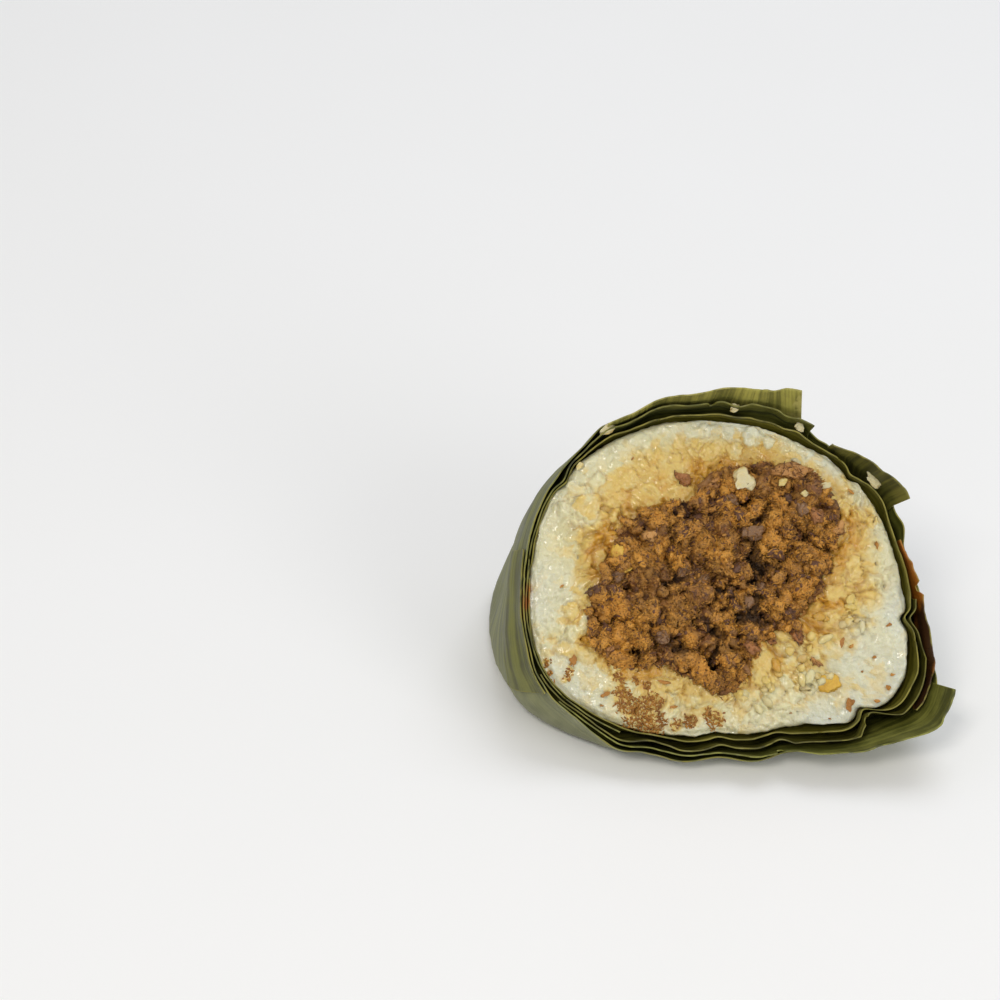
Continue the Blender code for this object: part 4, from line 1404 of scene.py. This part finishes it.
    def side(self, turn: Numbers, depth: Numbers) -> Numbers:
        """Works out the rice's side, lumpy at the rim, where it swells against the first leaf.

        Args:
            turn: Turns round the face.
            depth: Depths behind it.

        Returns:
            Distances from the face's centre.
        """
        place = placed(self.stack.radius, turn, depth)
        lumpy = (0.1 + 0.26 * rough(place, 1.9, 71)) * eased(1 - depth / 6.0)
        return self.wedge.distance(turn, depth) - self.stack.fold(turn, depth) + lumpy

    def mouth(self, angles: Numbers) -> Numbers:
        """Distance to the filling's uneven outline."""
        waver = self.mouth_waver * rough(placed(self.mouth_radius, angles), 3.2, 77, 3)
        return around(self.wedge.filling, angles) + waver - 0.3

    def build(self) -> bpy.types.Object:
        """Builds the rice in place of its solid.

        Returns:
            Its piece.
        """
        angles = np.arange(self.columns) * ROUND / self.columns
        share = np.linspace(0, 1, self.rows)[:, None]
        rim_depth = np.full(self.columns, self.side_depths[0])
        rim = self.wedge.at(self.side(angles, rim_depth), angles, rim_depth)
        radii = (1 - share) * self.mouth(angles) + share * np.hypot(rim[:, 0], rim[:, 1])
        flat = placed(radii, angles).reshape(-1, 2)
        height, looks = self.relief(flat)
        front = np.concatenate([flat, height[:, None]], axis=1).reshape(self.rows, self.columns, 3)
        front[-1] = rim
        depths = [np.full(self.columns, deep) for deep in self.side_depths[1:]]
        sides = [self.wedge.at(self.side(angles, depth), angles, depth) for depth in depths]
        shrunk = front[0] * (self.pocket_taper, self.pocket_taper, 0)
        pocket = [shrunk - (0, 0, deep) for deep in self.pocket_depths[::-1]]
        grid = np.concatenate([np.stack(pocket), front, np.stack(sides)])
        numbers = np.arange(grid.shape[0] * self.columns).reshape(-1, self.columns)
        points = np.concatenate([grid.reshape(-1, 3), [(0.0, 0.0, -self.pocket_depths[-1])]])
        middle = len(points) - 1
        faces = grid_faces(zipped(numbers), True).tolist()
        faces += [(a, b, middle) for a, b in zip(numbers[0], np.roll(numbers[0], -1))]
        around_front = (len(pocket) * self.columns, len(points) - len(flat) - len(pocket) * self.columns)
        held = {"soak": 0.3, "rim": 0.5, "grain": 0.5, "crevice": 0.0}
        attributes = {name: np.pad(values, around_front, constant_values=held[name])
                      for name, values in looks.items()}
        finish = SteamedRice().build()
        piece = add_piece("rice_grains_fused", self.face.metres(points), faces, finish, attributes)
        hand_in(piece, Slot.RICE, "rice")
        return piece


@dataclass(frozen=True)
class Filling:
    """The minced filling: a crumbly mound with hollows where the knife pulled it apart, painted dark as
    shade.
    """

    rice: Rice
    columns: int = 480
    rows: int = 74
    deep: float = 6.0  # of the plug behind the face
    taper: float = 0.95
    overlap: float = 0.25  # how far it reaches into the wall of the rice's pocket
    reach: float = 29.0  # how far from the centre the lumps go
    lumps: Bed = Bed(2.7, 2.1, 2.1, 3.1, 20.0, 1.7, 5)
    crumbs: Bed = Bed(0.95, 0.75, 0.6, 0.95, 20.0, 0.45, 6)
    # Where it was pulled apart
    hollows: tuple[Patch, ...] = as_patches(
        (9.6, 4.0, 1.0), (4.9, 3.0, 1.3), (7.4, -6.0, 1.2), (-1.2, -3.4, 1.3, 0.9),
        (-7.8, -10.6, 1.3, 0.9), (2.6, -13.0, 1.1, 0.8), (-3.0, 12.2, 1.1, 0.7), (6.4, 5.0, 1.9),
        (6.8, 2.2, 2.0), (3.2, 0.8, 1.6, 0.9), (0.4, -1.4, 1.5, 0.9), (9.6, 1.2, 1.3, 0.9),
        (12.0, -1.2, 1.5, 0.9), (-8.5, -2.0, 1.6, 0.9), (5.8, -7.0, 1.7), (-4.0, -8.6, 1.4, 0.7),
        (-2.4, -11.6, 1.7, 0.9), (-12.5, -8.0, 1.4, 0.8), (8.0, 9.6, 1.1, 0.9), (-6.5, 10.6, 1.8, 0.8),
        (11.8, 13.6, 1.2, 0.8), (-9.4, 6.4, 1.3, 0.7), (14.6, 8.6, 1.1, 0.8), (-15.5, -4.5, 1.3, 0.6),
        (1.0, -6.0, 1.3, 0.7),
    )
    # Where its floss is orange
    bright: tuple[Patch, ...] = as_patches(
        (10.3, 4.9, 3.0), (9.8, 12.2, 2.8, 0.9), (3.6, 12.0, 2.6, 0.9), (-0.6, 5.0, 2.6, 0.9),
        (-18.6, -9.6, 3.6, 0.9), (-14.6, -8.2, 2.4, 0.8), (-9.6, 4.6, 2.8, 0.5), (-6.0, -11.6, 1.4, 1.0),
        (15.6, -2.0, 2.4, 0.7), (-1.6, -14.0, 2.4, 0.5), (1.0, -9.4, 2.4, 0.6), (-19.8, -4.6, 2.6, 0.7),
    )

    def relief(self, points: Numbers) -> tuple[Numbers, dict[str, Numbers]]:
        """Works out the torn surface of the filling.

        Args:
            points: Places (across, up) on the face.

        Returns:
            Their heights out of the face, and the grain, crevice and zone of each.
        """
        angle, radius = polar(points)
        warped = points + 0.7 * drift(points, 2.0, 61, 62)
        big, big_pick, big_lead = self.lumps.relief(warped, self.reach)
        small, small_pick, _ = self.crumbs.relief(warped, self.reach)
        hollow = marked(points + 2.4 * drift(points, 3.4, 67, 68), self.hollows)
        fluff = 0.3 * rough(points, 1.1, 63, 4)
        edge = eased((radius - around(self.rice.wedge.filling, angle) + 3.0) / 3.5)
        height = 0.7 + 1.3 * big + 0.5 * small + fluff - 2.4 * hollow - 0.9 * edge
        # Painted shade: the lower the surface, the darker it is painted, and darker still in hollows and
        # between lumps
        low = eased((0.5 - height) / 2.4)
        crevice = np.clip(0.75 * hollow + (1 - eased(big_lead / 0.6)) * 0.45 + 0.75 * low, 0, 1)
        # Painted light: higher lumps are painted brighter, on top of the orange patches and random tone
        zone = marked(warped, self.bright) + 0.45 * noise(points, 4.0, 66) + 0.3 * eased(height - 1.0)
        return height, {"grain": 0.6 * big_pick + 0.4 * small_pick, "crevice": crevice * 0.9,
                        "zone": np.clip(zone, 0, 1)}

    def build(self) -> bpy.types.Object:
        """Builds the filling's core in place of its solid.

        Returns:
            Its piece.
        """
        angles = np.arange(self.columns) * ROUND / self.columns
        share = np.linspace(1, 0, self.rows, endpoint=False)[:, None]
        radii = share * (self.rice.mouth(angles) + self.overlap)
        flat = placed(radii, angles).reshape(-1, 2)
        height, looks = self.relief(flat)
        front = np.concatenate([flat, height[:, None]], axis=1).reshape(self.rows, self.columns, 3)
        back = front[0] * (self.taper, self.taper, 0) - (0, 0, self.deep)
        grid = np.concatenate([back[None], front])
        numbers = np.arange(grid.shape[0] * self.columns).reshape(-1, self.columns)
        ends = np.array([(0.0, 0.0, front[-1, :, 2].mean()), (0.0, 0.0, -self.deep)])
        points = np.concatenate([grid.reshape(-1, 3), ends])
        last = len(points) - 1
        faces = grid_faces(numbers, True).tolist()
        faces += [(b, a, last - 1) for a, b in zip(numbers[-1], np.roll(numbers[-1], -1))]
        faces += [(a, b, last) for a, b in zip(numbers[0], np.roll(numbers[0], -1))]
        attributes = {name: np.concatenate([np.zeros(self.columns), values, np.full(2, 0.5)])
                      for name, values in looks.items()}
        whole = self.rice.face.metres(points)
        piece = add_piece("filling_minced", whole, faces, MincedFilling().build(), attributes)
        hand_in(piece, Slot.FILLING, "filling")
        return piece


@dataclass(frozen=True)
class Scatter:
    """Small uneven pieces scattered over a surface by Geometry Nodes. Sizes are in millimetres."""

    name: str
    most: float  # pieces on a square centimetre, where the surface is marked fully
    spacing: float  # least distance between them
    size: tuple[float, float, float]  # length, width and height
    uneven: float  # how far each point of a piece may move
    sink: float  # how deep a piece sits in the surface
    seed: int
    least: float = 0.7  # smallest share of the size
    tilt: float = 25.0
    facets: int = 2  # subdivisions of the ball that each starts from
    wobble: float = 0.8  # width of its unevenness

    def tree(self, material: bpy.types.Material) -> bpy.types.NodeTree:
        """Builds the node tree, whose inputs are a surface and the sizes above, in metres.

        Args:
            material: The pieces' finish.

        Returns:
            The tree.
        """
        tree = bpy.data.node_groups.new(self.name + "_scatter", "GeometryNodeTree")
        face = tree.interface
        face.new_socket("Surface", in_out="INPUT", socket_type="NodeSocketGeometry")
        for label in ("Most", "Spacing", "Uneven", "Sink", "Least", "Tilt"):
            face.new_socket(label, in_out="INPUT", socket_type="NodeSocketFloat")
        face.new_socket("Size", in_out="INPUT", socket_type="NodeSocketVector")
        face.new_socket("Seed", in_out="INPUT", socket_type="NodeSocketInt")
        face.new_socket("Pieces", in_out="OUTPUT", socket_type="NodeSocketGeometry")
        given = add_node(tree, "NodeGroupInput").outputs
        mark = add_node(tree, "GeometryNodeInputNamedAttribute", {"Name": "scatter"}, data_type="FLOAT")
        spread = add_node(tree, "GeometryNodeDistributePointsOnFaces", {
            "Mesh": given["Surface"], "Distance Min": given["Spacing"], "Density Max": given["Most"],
            "Density Factor": mark, "Seed": given["Seed"]}, distribute_method="POISSON")
        back = add_node(tree, "ShaderNodeMath", (given["Tilt"], -1.0), **TIMES)
        lowest = add_node(tree, "ShaderNodeCombineXYZ", (back, back, 0.0))
        highest = add_node(tree, "ShaderNodeCombineXYZ", (given["Tilt"], given["Tilt"], ROUND))
        seed, vector = given["Seed"], {"data_type": "FLOAT_VECTOR"}
        lean = add_node(tree, "FunctionNodeRandomValue", {"Min": lowest, "Max": highest, "Seed": seed},
                        **vector)
        turned = add_node(tree, "FunctionNodeRotateRotation", (spread.outputs["Rotation"], lean),
                          rotation_space="LOCAL")
        most = add_node(tree, "ShaderNodeMath", (2.0, given["Least"]), operation="SUBTRACT")
        smallest = add_node(tree, "ShaderNodeCombineXYZ", (given["Least"], given["Least"], given["Least"]))
        largest = add_node(tree, "ShaderNodeCombineXYZ", (most, 1.0, 1.0))
        share = add_node(tree, "FunctionNodeRandomValue", {"Min": smallest, "Max": largest, "Seed": seed},
                         **vector)
        size = add_node(tree, "ShaderNodeVectorMath", (share, given["Size"]), **TIMES)
        ball = add_node(tree, "GeometryNodeMeshIcoSphere", {"Radius": 0.5, "Subdivisions": self.facets})
        copies = add_node(tree, "GeometryNodeInstanceOnPoints", {
            "Points": spread.outputs["Points"], "Instance": ball, "Rotation": turned, "Scale": size})
        number = add_node(tree, "FunctionNodeRandomValue", {"Seed": seed}, data_type="FLOAT")
        drawn = add_node(tree, "GeometryNodeStoreNamedAttribute", {
            "Geometry": copies, "Name": "grain", "Value": number}, data_type="FLOAT", domain="INSTANCE")
        down = add_node(tree, "ShaderNodeMath", (given["Sink"], -1.0), **TIMES)
        sunk = add_node(tree, "ShaderNodeCombineXYZ", (0.0, 0.0, down))
        moved = add_node(tree, "GeometryNodeTranslateInstances", {
            "Instances": drawn, "Translation": sunk, "Local Space": True})
        real = add_node(tree, "GeometryNodeRealizeInstances", (moved,))
        spot = add_node(tree, "GeometryNodeInputPosition")
        wobble = add_node(tree, "ShaderNodeTexNoise", (spot, 1 / (self.wobble * MM), 2.0))
        centred = add_node(tree, "ShaderNodeVectorMath", (wobble.outputs["Color"], (0.5, 0.5, 0.5)),
                           operation="SUBTRACT")
        push = add_node(tree, "ShaderNodeVectorMath", {"Vector": centred, "Scale": given["Uneven"]},
                        operation="SCALE")
        shaped = add_node(tree, "GeometryNodeSetPosition", {"Geometry": real, "Offset": push})
        smooth = add_node(tree, "GeometryNodeSetShadeSmooth", (shaped,))
        dressed = add_node(tree, "GeometryNodeSetMaterial", {"Geometry": smooth, "Material": material})
        add_node(tree, "NodeGroupOutput", (dressed,))
        return tree

    def build(self, surface: bpy.types.Object, mark: Numbers,
              material: bpy.types.Material) -> bpy.types.Object:
        """Scatters the pieces.

        Args:
            surface: The piece that they lie on.
            mark: For each of its points, from 0 to 1, how many lie there.
            material: Their finish.

        Returns:
            Their joined piece.
        """
        bed = bpy.data.objects.new(self.name + "_bed", surface.data.copy())
        bpy.context.scene.collection.objects.link(bed)
        layer = bed.data.attributes.new("scatter", "FLOAT", "POINT")
        layer.data.foreach_set("value", np.ascontiguousarray(mark, np.float32))
        tree = self.tree(material)
        per_metre = 1e4  # square centimetres in a square metre
        values = {"Most": self.most * per_metre, "Spacing": self.spacing * MM, "Uneven": self.uneven * MM,
                  "Sink": self.sink * MM, "Least": self.least, "Tilt": math.radians(self.tilt),
                  "Size": [length * MM for length in self.size], "Seed": self.seed}
        return grown(self.name, bed, tree, values)


def grown(name: str, bed: bpy.types.Object, tree: bpy.types.NodeTree, values: dict) -> bpy.types.Object:
    """Runs a node tree on an object and keeps its result as a plain mesh.

    Args:
        name: Name of the result.
        bed: The object that the tree starts from, which is removed.
        tree: The tree.
        values: Its inputs by name.

    Returns:
        The new object.
    """
    modifier = bed.modifiers.new(name, "NODES")
    modifier.node_group = tree
    for item in tree.interface.items_tree:
        if item.in_out == "INPUT" and item.name in values:
            modifier[item.identifier] = values[item.name]
    graph = bpy.context.evaluated_depsgraph_get()
    done = bed.evaluated_get(graph)
    mesh = bpy.data.meshes.new_from_object(done, preserve_all_data_layers=True, depsgraph=graph)
    bpy.data.objects.remove(bed)
    mesh.name = name
    piece = bpy.data.objects.new(name, mesh)
    bpy.context.scene.collection.objects.link(piece)
    return piece


@dataclass(frozen=True)
class ChunkSet:
    """Lumps of one kind on the cut face as one piece: rounded boxes, uneven, sliced flat by the knife."""

    name: str
    slot: Slot
    chunks: tuple[Chunk, ...]
    thickness: float = 0.8  # height as a share of width
    square: float = 2.8  # 2 is an oval, and more is squarer
    uneven: float = 0.16
    sliced: float = 0.45  # height of the slice as a share of half the thickness
    facets: int = 4
    seed: int = 1
    crisp: bool = True  # whether the slice has a sharp edge

    def ball(self) -> tuple[Numbers, Numbers]:
        """Makes an even ball of radius 1.

        Returns:
            Its points and its triangles.
        """
        made = bmesh.new()
        bmesh.ops.create_icosphere(made, subdivisions=self.facets, radius=1.0)
        points = np.array([corner.co[:] for corner in made.verts])
        faces = np.array([[corner.index for corner in face.verts] for face in made.faces])
        made.free()
        return points, faces

    def build(self, cut: "CutFace", material: bpy.types.Material) -> bpy.types.Object:
        """Builds the set.

        Args:
            cut: The surface that the lumps lie in.
            material: Their finish.

        Returns:
            Their piece.
        """
        draw = np.random.default_rng(self.seed)
        ball, triangles = self.ball()
        squared = ball * (np.abs(ball) ** self.square).sum(axis=1, keepdims=True) ** (-1 / self.square)
        below = cut.height(np.array([(chunk.across, chunk.up) for chunk in self.chunks]))
        points, faces, looks = [], [], []
        for number, (chunk, ground) in enumerate(zip(self.chunks, below)):
            half = np.array((chunk.length, chunk.width, max(chunk.width * self.thickness, 0.5))) / 2
            shape = squared * half * draw.uniform(0.92, 1.06, 3)
            bumps = self.uneven * rough(ball + number * 3.0, 0.9, self.seed + number, 3)
            shape = shape * (1 + bumps)[:, None]
            top = half[2] * self.sliced + 0.09 * rough(shape[:, :2] + number, 0.9, 7, 2)
            lifted = np.minimum(shape[:, 2], top)
            side = np.clip((half[2] * self.sliced - lifted) / (half[2] * 0.9), 0, 1)
            lean = draw.uniform(-0.12, 0.12, 2)
            lifted = lifted - half[2] * self.sliced + shape[:, 0] * lean[0] + shape[:, 1] * lean[1]
            sine, cosine = math.sin(math.radians(chunk.turn)), math.cos(math.radians(chunk.turn))
            across = chunk.across + shape[:, 0] * cosine - shape[:, 1] * sine
            up = chunk.up + shape[:, 0] * sine + shape[:, 1] * cosine
            points.append(np.stack([across, up, lifted + ground + chunk.lift], axis=1))
            faces.append(triangles + number * len(ball))
            # The sides are painted darker, with more soak and darkening as in crevices: painted shade.
            soak = np.clip(chunk.soak + 0.1 * rough(shape, 1.4, number, 2) + 0.25 * side, 0, 1)
            looks.append(np.stack([soak, np.full(len(ball), draw.uniform()), side * 0.5], axis=1))
        values = np.concatenate(looks)
        attributes = {"soak": values[:, 0], "grain": values[:, 1], "crevice": values[:, 2]}
        whole = cut.face.metres(np.concatenate(points))
        piece = add_piece(self.name, whole, np.concatenate(faces).tolist(), material, attributes)
        if self.crisp:
            piece.data.set_sharp_from_angle(angle=math.radians(50))
        hand_in(piece, self.slot)
        return piece


@dataclass(frozen=True)
class CutFace:
    """The whole cut surface, rice and filling."""

    face: FaceFrame
    rice: Rice
    filling: Filling

    def height(self, points: Numbers) -> Numbers:
        """Works out the surface.

        Args:
            points: Places (across, up) on the face.

        Returns:
            Their heights out of the face.
        """
        angle, radius = polar(points)
        inside = radius < self.rice.mouth(angle)
        return np.where(inside, self.filling.relief(points)[0], self.rice.relief(points)[0])


@dataclass(frozen=True)
class Studio:
    """A pale floor, soft light and the camera."""

    face: FaceFrame
    azimuth: float = math.radians(-8.0)
    elevation: float = math.radians(38.0)
    roll: float = math.radians(5.3)
    distance: float = 600.0
    frame_width: float = 182.0  # what the picture spans at that distance, in millimetres
    face_at: tuple[float, float] = (0.22, -0.078)  # the face's centre from the picture's middle, in widths
    aim: Values = (0.0, 0.0, 0.02)  # what the lights are turned to, in metres
    daylight: float = 0.42
    lights: tuple[tuple, ...] = (
        ("key", (-0.32, -0.5, 0.72), 0.25, 2.7, "FFFAF2"),
        ("top", (0.15, 0.35, 0.7), 0.5, 2.0, "F4F8FF"),
        ("fill", (0.5, -0.55, 0.4), 0.5, 1.7, "FFFFFF"),
    )
    floor_half: float = 3.0  # half the floor's side, in metres

    def add_camera(self) -> None:
        """The camera at the photograph's viewing angle."""
        sine, cosine = math.sin(self.azimuth), math.cos(self.azimuth)
        level_part = math.cos(self.elevation)
        back = Vector((sine * level_part, -cosine * level_part, math.sin(self.elevation)))
        level = Vector((cosine, sine, 0.0))
        right = level * math.cos(self.roll) + back.cross(level) * math.sin(self.roll)
        up = back.cross(right)
        shift = (right * self.face_at[0] + up * self.face_at[1]) * self.frame_width
        aim = Vector(self.face.centre) - shift
        data = bpy.data.cameras.new("camera")
        data.sensor_width = 36.0
        data.lens = data.sensor_width * self.distance / self.frame_width
        data.clip_end = 10.0
        camera = bpy.data.objects.new("camera", data)
        turned = Matrix((right, up, back)).transposed().to_4x4()
        camera.matrix_world = Matrix.Translation((aim + back * self.distance) * MM) @ turned
        bpy.context.scene.collection.objects.link(camera)
        bpy.context.scene.camera = camera

    def add_light(self, name: str, place: Values, size: float, power: float, colour: str) -> None:
        """Adds a soft square light, turned to the part.

        Args:
            name: Its name.
            place: Where it hangs, in metres.
            size: Its side, in metres.
            power: Its power in watts.
            colour: Its colour's hex code.
        """
        data = bpy.data.lights.new(name, "AREA")
        data.size = size
        data.energy = power
        data.color = linear(colour)[:3]
        light = bpy.data.objects.new(name, data)
        light.location = place
        light.rotation_euler = (Vector(self.aim) - light.location).to_track_quat("-Z", "Y").to_euler()
        bpy.context.scene.collection.objects.link(light)

    def add_floor(self) -> None:
        """The floor, a large sheet on the ground."""
        mesh = bpy.data.meshes.new("floor")
        half = self.floor_half
        corners = [(-half, -half, 0), (half, -half, 0), (half, half, 0), (-half, half, 0)]
        mesh.from_pydata(corners, [], [(0, 1, 2, 3)])
        floor = bpy.data.objects.new("floor", mesh)
        paint = Paint("pale_paper", roughness=0.9)
        blotch = paint.add("TexNoise", (paint.place, 1 / (60.0 * MM)))
        mesh.materials.append(paint.finish(paint.add("Mix", (blotch, "F4F4F3", "F6F6F6"), **COLOUR)))
        bpy.context.scene.collection.objects.link(floor)

    def build(self) -> None:
        """Adds all of it."""
        world = bpy.data.worlds.new("studio")
        bpy.context.scene.world = world
        world.use_nodes = True
        background = world.node_tree.nodes["Background"]
        background.inputs["Color"].default_value = linear("FFFFFF")
        background.inputs["Strength"].default_value = self.daylight
        bpy.context.scene.view_settings.view_transform = "Standard"
        self.add_floor()
        for light in self.lights:
            self.add_light(*light)
        self.add_camera()


SHRED = {"size": (1.5, 0.26, 0.22), "uneven": 0.8, "least": 0.5, "tilt": 45.0, "facets": 1}


def places(piece: bpy.types.Object) -> Numbers:
    """The points of a piece in metres."""
    return np.array([corner.co[:] for corner in piece.data.vertices])


def crevices(piece: bpy.types.Object) -> Numbers:
    """Reads how deep in crevices each point of a piece lies, where shade is painted.

    Args:
        piece: The piece.

    Returns:
        A number from 0 to 1 for each point.
    """
    values = np.zeros(len(piece.data.vertices), np.float32)
    piece.data.attributes["crevice"].data.foreach_get("value", values)
    return values


def dress_filling(core: bpy.types.Object, filling: Filling) -> None:
    """Scatters crumbs and shreds of floss over the filling.

    Args:
        core: The filling's piece.
        filling: Its sizes.
    """
    place = places(core) / MM
    front = np.zeros(len(place))
    front[filling.columns : -2] = 1.0
    clumps = np.clip(0.6 + 0.8 * noise(place, 3.0, 12), 0, 1) * front
    finish = MincedFilling("meat_floss_shreds", brown="8A5828", golden="B88238", orange="D6983A",
                           dark="5C3A1A").build()
    crumbs = Scatter("filling_crumbs", 15.0, 1.5, (2.6, 1.9, 1.5), uneven=1.9, sink=0.35, seed=3)
    crumbs = crumbs.build(core, clumps, finish)
    hand_in(crumbs, Slot.FILLING)
    shreds = Scatter("filling_crumb_shreds", 300.0, 0.25, sink=-0.15, seed=14, **SHRED)
    hand_in(shreds.build(crumbs, np.ones(len(crumbs.data.vertices)), finish), Slot.FILLING)
    bits = Scatter("filling_bits", 150.0, 0.5, (1.0, 0.8, 0.7), uneven=0.9, sink=0.0, seed=13,
                   least=0.5, tilt=40.0, facets=1)
    hand_in(bits.build(core, front, finish), Slot.FILLING)
    fluffy = np.clip(0.3 + 1.1 * noise(place, 3.4, 18), 0.05, 1)
    fluffy = fluffy * np.clip(1 - 1.5 * crevices(core), 0.05, 1) * front
    shreds = Scatter("filling_shreds", 900.0, 0.18, (1.7, 0.24, 0.2), uneven=0.9, sink=-0.2, seed=4,
                     least=0.5, tilt=46.0, facets=1)
    hand_in(shreds.build(core, fluffy, finish), Slot.FILLING)


def dress_meat(*pieces: bpy.types.Object) -> None:
    """Scatters shreds of floss over lumps.

    Args:
        pieces: The lumps of meat and shallot.
    """
    finish = MincedFilling("meat_floss_on_lumps", brown="8A5A2C", golden="A87436", orange="C0802C").build()
    for number, piece in enumerate(pieces):
        covered = np.clip(0.65 + 0.9 * noise(places(piece) / MM, 2.2, 15), 0, 1) * (crevices(piece) < 0.4)
        shreds = Scatter(piece.name + "_floss", 420.0, 0.25, sink=-0.12, seed=31 + number, **SHRED)
        hand_in(shreds.build(piece, covered, finish), Slot.FILLING)


def dress_rice(grains: bpy.types.Object, rice: Rice) -> None:
    """Scatters loose grains over the rice where it crumbled, and spilt floss over its lower left.

    Args:
        grains: The rice's piece.
        rice: Its sizes.
    """
    flat = rice.face.flat(places(grains))
    shown = flat[:, 2] > -2.5
    loose = marked(flat[:, :2], rice.crumbly) * shown
    crumbs = Scatter("rice_crumbs", 26.0, 1.2, (2.3, 1.9, 1.7), uneven=1.2, sink=0.3, seed=8, least=0.6)
    hand_in(crumbs.build(grains, loose, SteamedRice("loose_glutinous_rice").build()), Slot.RICE)
    spilt = marked(flat[:, :2], rice.spilt) * shown
    finish = MincedFilling("spilt_meat_floss", brown="AA7230", golden="C08838", orange="CC9238",
                           dark="8E5C24", mauve="98622E", hollow="7A4A1C").build()
    floss = Scatter("floss_spilt", 1300.0, 0.22, (0.8, 0.5, 0.4), uneven=0.7, sink=0.04, seed=9,
                    least=0.5, tilt=50.0, facets=1)
    hand_in(floss.build(grains, spilt, finish), Slot.FILLING)


def main() -> None:
    """Builds the dumpling and its studio."""
    logging.basicConfig(level=logging.INFO, format="%(name)s %(message)s")
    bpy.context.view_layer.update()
    wedge = Wedge()
    stack = LeafStack(wedge, LEAVES)
    face = FaceFrame.found(stack, "leaf_outer")
    log.info("face centre %s", face.centre)
    rice = Rice(stack, face)
    grains = rice.build()
    filling = Filling(rice)
    core = filling.build()
    LeafSheets(stack, face).build()
    cut = CutFace(face, rice, filling)
    dress_filling(core, filling)
    dress_rice(grains, rice)
    crumbs = ChunkSet("rice_chunks_pale", Slot.RICE, PALE_CHUNKS, square=2.0, uneven=0.5, sliced=0.6,
                      seed=2)
    crumbs.build(cut, SteamedRice("dry_glutinous_rice", cream="D8CEA8", pale="CCC196", wet=0.1).build())
    beans = ChunkSet("mung_beans", Slot.RICE, BEAN_CHUNKS, thickness=0.7, square=2.6, uneven=0.34,
                     sliced=0.6, seed=3, crisp=False)
    beans.build(cut, MungBean().build())
    lump = {"thickness": 0.9, "square": 2.1, "sliced": 0.95, "crisp": False}
    meat = ChunkSet("meat_pink", Slot.FILLING, PINK_CHUNKS, uneven=0.55, seed=4, **lump)
    shallot = ChunkSet("meat_dark", Slot.FILLING, MAUVE_CHUNKS, uneven=0.5, seed=5, **lump)
    dress_meat(meat.build(cut, MeatLump("braised_meat", "C8924C", "A86C38").build()),
               shallot.build(cut, MeatLump("braised_shallot", "7C5A3A", "8E6A48").build()))
    flecks = ChunkSet("fried_flecks", Slot.FILLING, FLECKS, thickness=0.5, square=2.0, uneven=0.85,
                      facets=3, seed=6)
    flecks.build(cut, MeatLump("fried_fleck", "C88C34", "A86E24").build())
    Studio(face).build()
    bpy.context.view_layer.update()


if __name__ == "__main__":
    main()
